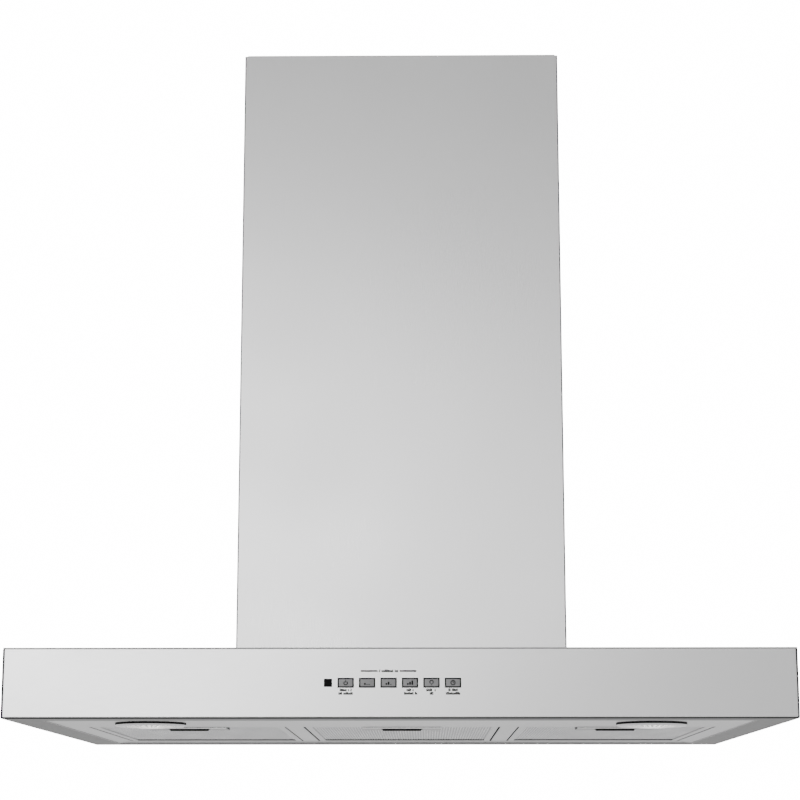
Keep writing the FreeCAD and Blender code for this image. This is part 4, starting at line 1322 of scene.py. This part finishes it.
# --------------------------------------------------------------------------- lamps
@dataclass
class Lamp:
    """One round lamp: chrome ring, ribbed lens, faceted reflector and halogen capsule."""

    bench: Bench
    place: str
    chrome: PlainMetal = PlainMetal("lamp_chrome", (0.78, 0.78, 0.79), 0.08, 200.0, 0.000005)
    glass: ClearGlass = ClearGlass("lamp_lens_glass", (1.0, 1.0, 0.99), 0.03, 0.35)
    # The dark stripe glass is painted shade laid between the glowing stripes of the lens.
    stripe_shade_glass: ClearGlass = ClearGlass("lens_prism_glass", (0.40, 0.41, 0.41), 0.12, 0.01)
    prisms: int = 26
    mirror: PlainMetal = PlainMetal("reflector_bright", (0.92, 0.92, 0.92), 0.06, 150.0, 0.000005)
    capsule: ClearGlass = ClearGlass("capsule_glass", (1.0, 0.99, 0.96), 0.02, 4.0)
    # The black band is painted shade: it stands in for the shadow gap between ring and panel.
    gap_shade_look: Moulding = Moulding("ring_gap_painted_shade", (0.004, 0.004, 0.004), 0.6, gloss=0.1)
    ceramic: Moulding = Moulding("socket_ceramic", (0.75, 0.74, 0.70), 0.5)

    def build(self) -> None:
        """Make the four pieces."""
        self.ring()
        self.shade_band()
        self.lens()
        self.reflector()
        self.bulb()

    def spot(self) -> Array:
        """Centre of the lamp at the level of the panel's lower face."""
        low, high, centre = node_box("lamp_ring_" + self.place)
        return np.array([centre[0], centre[1], high[2] - 10.0 * MILLI])

    def ring(self) -> None:
        """Turned trim ring with a rolled outer edge and an inner step."""
        angles = np.linspace(math.radians(-90), 0, 7)
        rolled = np.stack([39.0 + 3.0 * np.cos(angles), -1.5 + 3.0 * np.sin(angles)], axis=-1)
        inner = np.array([(31.0, 0.0), (31.0, -3.9), (31.5, -4.45), (33.0, -4.5), (36.5, -4.5)])
        outer = np.array([(42.0, -0.3), (41.7, 0.0), (37.7, 0.0), (37.7, 10.0), (36.0, 10.0), (36.0, 0.0)])
        profile = np.vstack([inner, rolled, outer])
        loops = revolve(profile * MILLI, 96)
        faces = grid_quads(len(profile), 96, close_rows=True)
        ring = Surface(loops.points, faces).moved(self.spot())
        self.bench.shape("trim_ring_" + self.place, ring, self.chrome, ["lamp_ring_" + self.place])

    def shade_band(self) -> None:
        """Black band between the ring and the panel, standing in for the shadow gap there as painted shade: a
        turned band.
        """
        band = np.array([(38.5, -0.05), (38.5, -2.5), (41.9, -2.5), (42.3, -2.1), (42.3, -0.05)])
        turned = revolve(band * MILLI, 96)
        shell = Surface(turned.points, grid_quads(len(band), 96, close_rows=True))
        shade_band = shell.moved(self.spot())
        self.bench.shape("ring_seal_" + self.place, shade_band, self.gap_shade_look, ["+lamp_ring_" + self.place])

    def lens(self) -> None:
        """Domed lens with radial flutes on its inner face: the height follows a cosine of the angle."""
        dome = np.array([(0.01, -6.5), (8, -6.4), (16, -6.1), (23, -5.4), (28, -4.6)])
        outer = np.vstack([dome, [(30.0, -3.9), (30.5, -3.2), (30.5, 0.0)]])
        lip = np.array([(33.5, 0.0), (33.5, 1.5), (30.0, 1.5)])
        inner = np.array([(27, 0.6), (20, -1.2), (12, -2.2), (5, -2.7), (0.01, -2.8)])
        profile = np.vstack([outer, lip, inner]) * MILLI
        first = len(outer) + len(lip)

        def flute(angle: Array, row: Array) -> Array:
            """Ripple of the inner rows only."""
            return np.where(row >= first, 0.45 * MILLI * np.cos(36 * angle) * (row < len(profile) - 1), 0.0)

        piece = revolve(profile, 288, flute).moved(self.spot())
        node = "lamp_lens_" + self.place
        thing = self.bench.shape("fluted_lens_" + self.place, piece, self.glass, [node], 50.0)
        thing.data.materials.append(self.bench.finish(self.stripe_shade_glass))
        centres = np.array([polygon.center[:] for polygon in thing.data.polygons]) - self.spot()
        angle = np.arctan2(centres[:, 1], centres[:, 0])
        radius = np.hypot(centres[:, 0], centres[:, 1])
        # Every other stripe takes the dark glass: painted shade between the glowing stripes.
        dark = (np.mod(angle * self.prisms / TAU, 1.0) < 0.42) & (radius > 12.0 * MILLI)
        thing.data.polygons.foreach_set("material_index", dark.astype(np.int32))

    def reflector(self) -> None:
        """Bowl with flat facets: its radius is held constant between facet edges."""
        part = np.linspace(0.0, 1.0, 13)
        radius = 11.5 + (33.0 - 11.5) * np.sqrt(part)
        height = 21.0 - 19.0 * (1 - (1 - part) ** 1.4)
        inside = np.stack([radius, height], axis=-1)[::-1]
        outside = inside[::-1] + np.array([0.6, 0.7])
        neck_in = np.array([(11.0, 30.0)])
        neck_out = np.array([(12.0, 30.0)])
        profile = np.vstack([inside, neck_in, neck_out, outside])
        turned = revolve(profile * MILLI, 40)
        shell = Surface(turned.points, grid_quads(len(profile), 40, close_rows=True)).turned_over()
        bowl = shell.moved(self.spot())
        node = "lamp_reflector_" + self.place
        self.bench.shape("faceted_bowl_" + self.place, bowl, self.mirror, [node], 3.0)

    def bulb(self) -> None:
        """Glass capsule on a round ceramic socket."""
        angles = np.linspace(-math.pi / 2, 0, 9)
        tip = np.stack([4.5 * np.cos(angles) + 0.01, 11.0 + 4.5 * np.sin(angles)], axis=-1)
        profile = np.vstack([tip, [(4.5, 19.0), (3.4, 20.2), (0.01, 20.2)]])
        spot = self.spot()
        node = "lamp_bulb_" + self.place
        capsule = revolve(profile * MILLI, 40).moved(spot)
        self.bench.shape("capsule_" + self.place, capsule, self.capsule, [node], 50.0)
        collar = [(0.01, 20.0), (10.0, 20.0), (10.6, 20.6), (10.6, 27.0)]
        body = [(9.8, 27.5), (9.8, 39.4), (9.2, 40.0), (0.01, 40.0)]
        socket = revolve(np.array(collar + body) * MILLI, 48).moved(spot)
        self.bench.shape("socket_" + self.place, socket, self.ceramic, ["+" + node])


# --------------------------------------------------------------------------- covers and frame
@dataclass
class DuctCovers:
    """Lower and upper duct covers with their seam screws."""

    bench: Bench
    sheet: BrushedSteel = BrushedSteel("cover_brushed", Grain.ALONG_Z, 0.62, 0.30)
    inner_sheet: BrushedSteel = BrushedSteel("upper_cover_brushed", Grain.ALONG_Z, 0.60, 0.30)
    # The bends' dark tone is painted shade, standing in for the dark surroundings the covers' corners
    # reflect.
    edge: BentEdge = BentEdge("cover_bend", 0.10, 0.10)
    zinc: PlainMetal = PlainMetal("screw_zinc", (0.68, 0.68, 0.67), 0.22, 800.0)

    def build(self) -> None:
        """Make the four half covers and the screws."""
        for half in ("front", "rear"):
            self.bench.soften("lower_cover_" + half, self.sheet, 0.2, 2, [(self.edge, bends)])
            self.bench.soften("upper_cover_" + half, self.inner_sheet, 0.2, 2, [(self.edge, bends)])
        self.bench.soften("hood_screws", self.zinc, 0.35, 3)
        self.bench.soften("upper_cover_screws", self.zinc, 0.2)


@dataclass
class HangingFrame:
    """Slotted lower frame, upper frame, ceiling plate and clamping bolts."""

    bench: Bench
    zinc_sheet: ZincSheet = ZincSheet("frame_zinc")
    bolt: PlainMetal = PlainMetal("bolt_zinc", (0.66, 0.66, 0.62), 0.25, 900.0)

    def build(self) -> None:
        """Make the four pieces."""
        for node in ("lower_frame", "upper_frame", "ceiling_plate"):
            self.bench.soften(node, self.zinc_sheet, 0.4)
        self.bench.soften("frame_bolts", self.bolt, 0.5)


# --------------------------------------------------------------------------- blower
@dataclass
class Blower:
    """Blower box, volute, wheel, motor, collar, dampers and wiring boxes."""

    bench: Bench
    sheet: ZincSheet = ZincSheet("blower_zinc", 0.52, 0.4)
    wheel: PlainMetal = PlainMetal("wheel_aluminium", (0.6, 0.6, 0.61), 0.35, 300.0)
    can: Moulding = Moulding("motor_paint", (0.03, 0.03, 0.034), 0.35, 500.0, 0.00004)
    steel: PlainMetal = PlainMetal("ground_steel", (0.62, 0.62, 0.62), 0.18, 700.0)
    flap: PlainMetal = PlainMetal("flap_aluminium", (0.68, 0.68, 0.69), 0.32, 250.0)
    black: Moulding = Moulding("box_black", (0.03, 0.03, 0.032), 0.5)
    pale: Moulding = Moulding("case_pale", (0.6, 0.6, 0.57), 0.4)

    def build(self) -> None:
        """Make each piece."""
        for node in ("blower_box", "scroll_casing", "scroll_cover", "motor_bracket", "outlet_collar"):
            self.bench.soften(node, self.sheet, 0.3)
        self.bench.soften("impeller", self.wheel, 0.12, 1)
        self.bench.soften("motor", self.can, 1.2, 3)
        for node in ("motor_shaft", "damper_pin"):
            self.bench.soften(node, self.steel, 0.3)
        for side in ("left", "right"):
            self.bench.soften("damper_flap_" + side, self.flap, 0.3)
        for node in ("junction_box", "cable_gland"):
            self.bench.soften(node, self.black, 0.6, 3)
        for node in ("capacitor", "lamp_transformer"):
            self.bench.soften(node, self.pale, 1.0, 3)


# --------------------------------------------------------------------------- studio
@dataclass
class Studio:
    """White room, pale floor, soft lamps and the camera."""

    floor_level: float = -2.5
    low_light: float = 1.4
    high_light: float = 0.73
    right_part: float = 0.9
    spot_light: float = 8.0
    spot_size: float = 0.22
    spot_direction: tuple = (-0.17, -0.977, 0.125)
    flag_part: float = 0.05
    zenith_part: float = 1.9
    white: float = 16.0
    camera_place: tuple = (0.0293, -2.7193, -0.9901)
    camera_pitch: float = 11.77
    camera_yaw: float = 0.69
    camera_focal: float = 93.96

    def build(self) -> None:
        """Set up the world, floor, lights and camera."""
        self.world()
        self.floor()
        self.camera()

    def world(self) -> None:
        """White room: a broad soft lamp low in front and to the left, dark flags at both sides.

        The light of a direction (x, y, z) is a fall-off with height, times a fall-off to the right, plus a
        soft spot about spot_direction; flags dim the directions between the front and the sides, and the
        camera sees plain white. The flags stand low, so the upper faces keep their light.
        """
        world = bpy.data.worlds.new("studio")
        bpy.context.scene.world = world
        world.use_nodes = True
        self.tree = world.node_tree
        split = self.tree.nodes.new("ShaderNodeSeparateXYZ")
        place = self.tree.nodes.new("ShaderNodeTexCoord").outputs["Generated"]
        self.tree.links.new(place, split.inputs[0])
        across, away, height = split.outputs
        low = self.step(height, 0.05, 0.34, self.low_light, self.high_light)
        right = self.step(across, -0.12, 0.12, 1.0, self.right_part)
        field_light = self.maths("MULTIPLY", low, right)
        apart = self.tree.nodes.new("ShaderNodeVectorMath")
        apart.operation = "DISTANCE"
        self.tree.links.new(place, apart.inputs[0])
        apart.inputs[1].default_value = self.spot_direction
        spot = self.step(apart.outputs["Value"], 0.02, self.spot_size, self.spot_light, 0.0)
        lit = self.maths("ADD", field_light, spot)
        aside = self.step(self.maths("ABSOLUTE", across), 0.36, 0.5, 0.0, 1.0)
        ahead = self.step(away, -0.5, -0.3, 1.0, 0.0)
        beneath = self.step(height, 0.14, 0.22, 1.0, 0.0)
        flags = self.maths("MULTIPLY", self.maths("MULTIPLY", aside, ahead), beneath)
        dimmed = self.maths("MULTIPLY", lit, self.step(flags, 0.0, 1.0, 1.0, self.flag_part))
        zenith = self.step(height, 0.55, 0.8, 1.0, self.zenith_part)
        studio = self.maths("MULTIPLY", dimmed, zenith)
        seen = self.tree.nodes.new("ShaderNodeLightPath").outputs["Is Camera Ray"]
        mix = self.tree.nodes.new("ShaderNodeMix")
        self.tree.links.new(seen, mix.inputs["Factor"])
        self.tree.links.new(studio, mix.inputs[2])
        mix.inputs[3].default_value = self.white
        background = self.tree.nodes["Background"]
        self.tree.links.new(mix.outputs[0], background.inputs["Strength"])
        background.inputs["Color"].default_value = (1.0, 1.0, 1.0, 1.0)

    def step(self, value: Socket, start: float, end: float, first: float, last: float) -> Socket:
        """Smooth step of a world value.

        Args:
            value: Input.
            start: Input where the result is first.
            end: Input where the result is last.
            first: Result at start.
            last: Result at end.

        Returns:
            The result socket.
        """
        node = self.tree.nodes.new("ShaderNodeMapRange")
        node.interpolation_type = "SMOOTHSTEP"
        for key, number in (("From Min", start), ("From Max", end), ("To Min", first), ("To Max", last)):
            node.inputs[key].default_value = number
        self.tree.links.new(value, node.inputs["Value"])
        return node.outputs["Result"]

    def maths(self, operation: str, first: Socket, second: Optional[Socket] = None) -> Socket:
        """Arithmetic on world values.

        Args:
            operation: Name of the operation.
            first: First value.
            second: Second value, where there is one.

        Returns:
            The result socket.
        """
        node = self.tree.nodes.new("ShaderNodeMath")
        node.operation = operation
        self.tree.links.new(first, node.inputs[0])
        if second is not None:
            self.tree.links.new(second, node.inputs[1])
        return node.outputs[0]

    def floor(self) -> None:
        """Large pale floor."""
        size = 150.0
        corners = [(-size, -size), (size, -size), (size, size), (-size, size)]
        mesh = bpy.data.meshes.new("floor")
        mesh.from_pydata([(x, y, self.floor_level) for x, y in corners], [], [(0, 1, 2, 3)])
        nodes = Nodes("floor_pale")
        nodes.tint(nodes.ramp(nodes.noise(2.0), 0.0, 1.0), (0.86, 0.86, 0.86), (0.88, 0.88, 0.88))
        nodes.set(Roughness=0.6)
        mesh.materials.append(nodes.material)
        floor = bpy.data.objects.new("floor", mesh)
        bpy.context.scene.collection.objects.link(floor)

    def camera(self) -> None:
        """Camera low in front, looking slightly up."""
        data = bpy.data.cameras.new("camera")
        data.lens = self.camera_focal
        data.sensor_width = 36.0
        data.clip_end = 200.0
        camera = bpy.data.objects.new("camera", data)
        camera.location = self.camera_place
        camera.rotation_euler = (math.radians(90.0 + self.camera_pitch), 0.0, math.radians(self.camera_yaw))
        bpy.context.scene.collection.objects.link(camera)
        bpy.context.scene.camera = camera


def main() -> None:
    """Build every sub-assembly in order."""
    logging.basicConfig(level=logging.INFO, format="%(message)s")
    bench = Bench()
    Studio().build()
    assemblies: list = [Canopy(bench), ControlPanel(bench), DuctCovers(bench)]
    assemblies += [HangingFrame(bench), Blower(bench)]
    assemblies += [GreaseFilter(bench, place) for place in ("left", "centre", "right")]
    assemblies += [Lamp(bench, place) for place in ("left", "right")]
    for assembly in assemblies:
        LOG.info("building %s", type(assembly).__name__)
        assembly.build()
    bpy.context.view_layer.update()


if __name__ == "__main__":
    main()
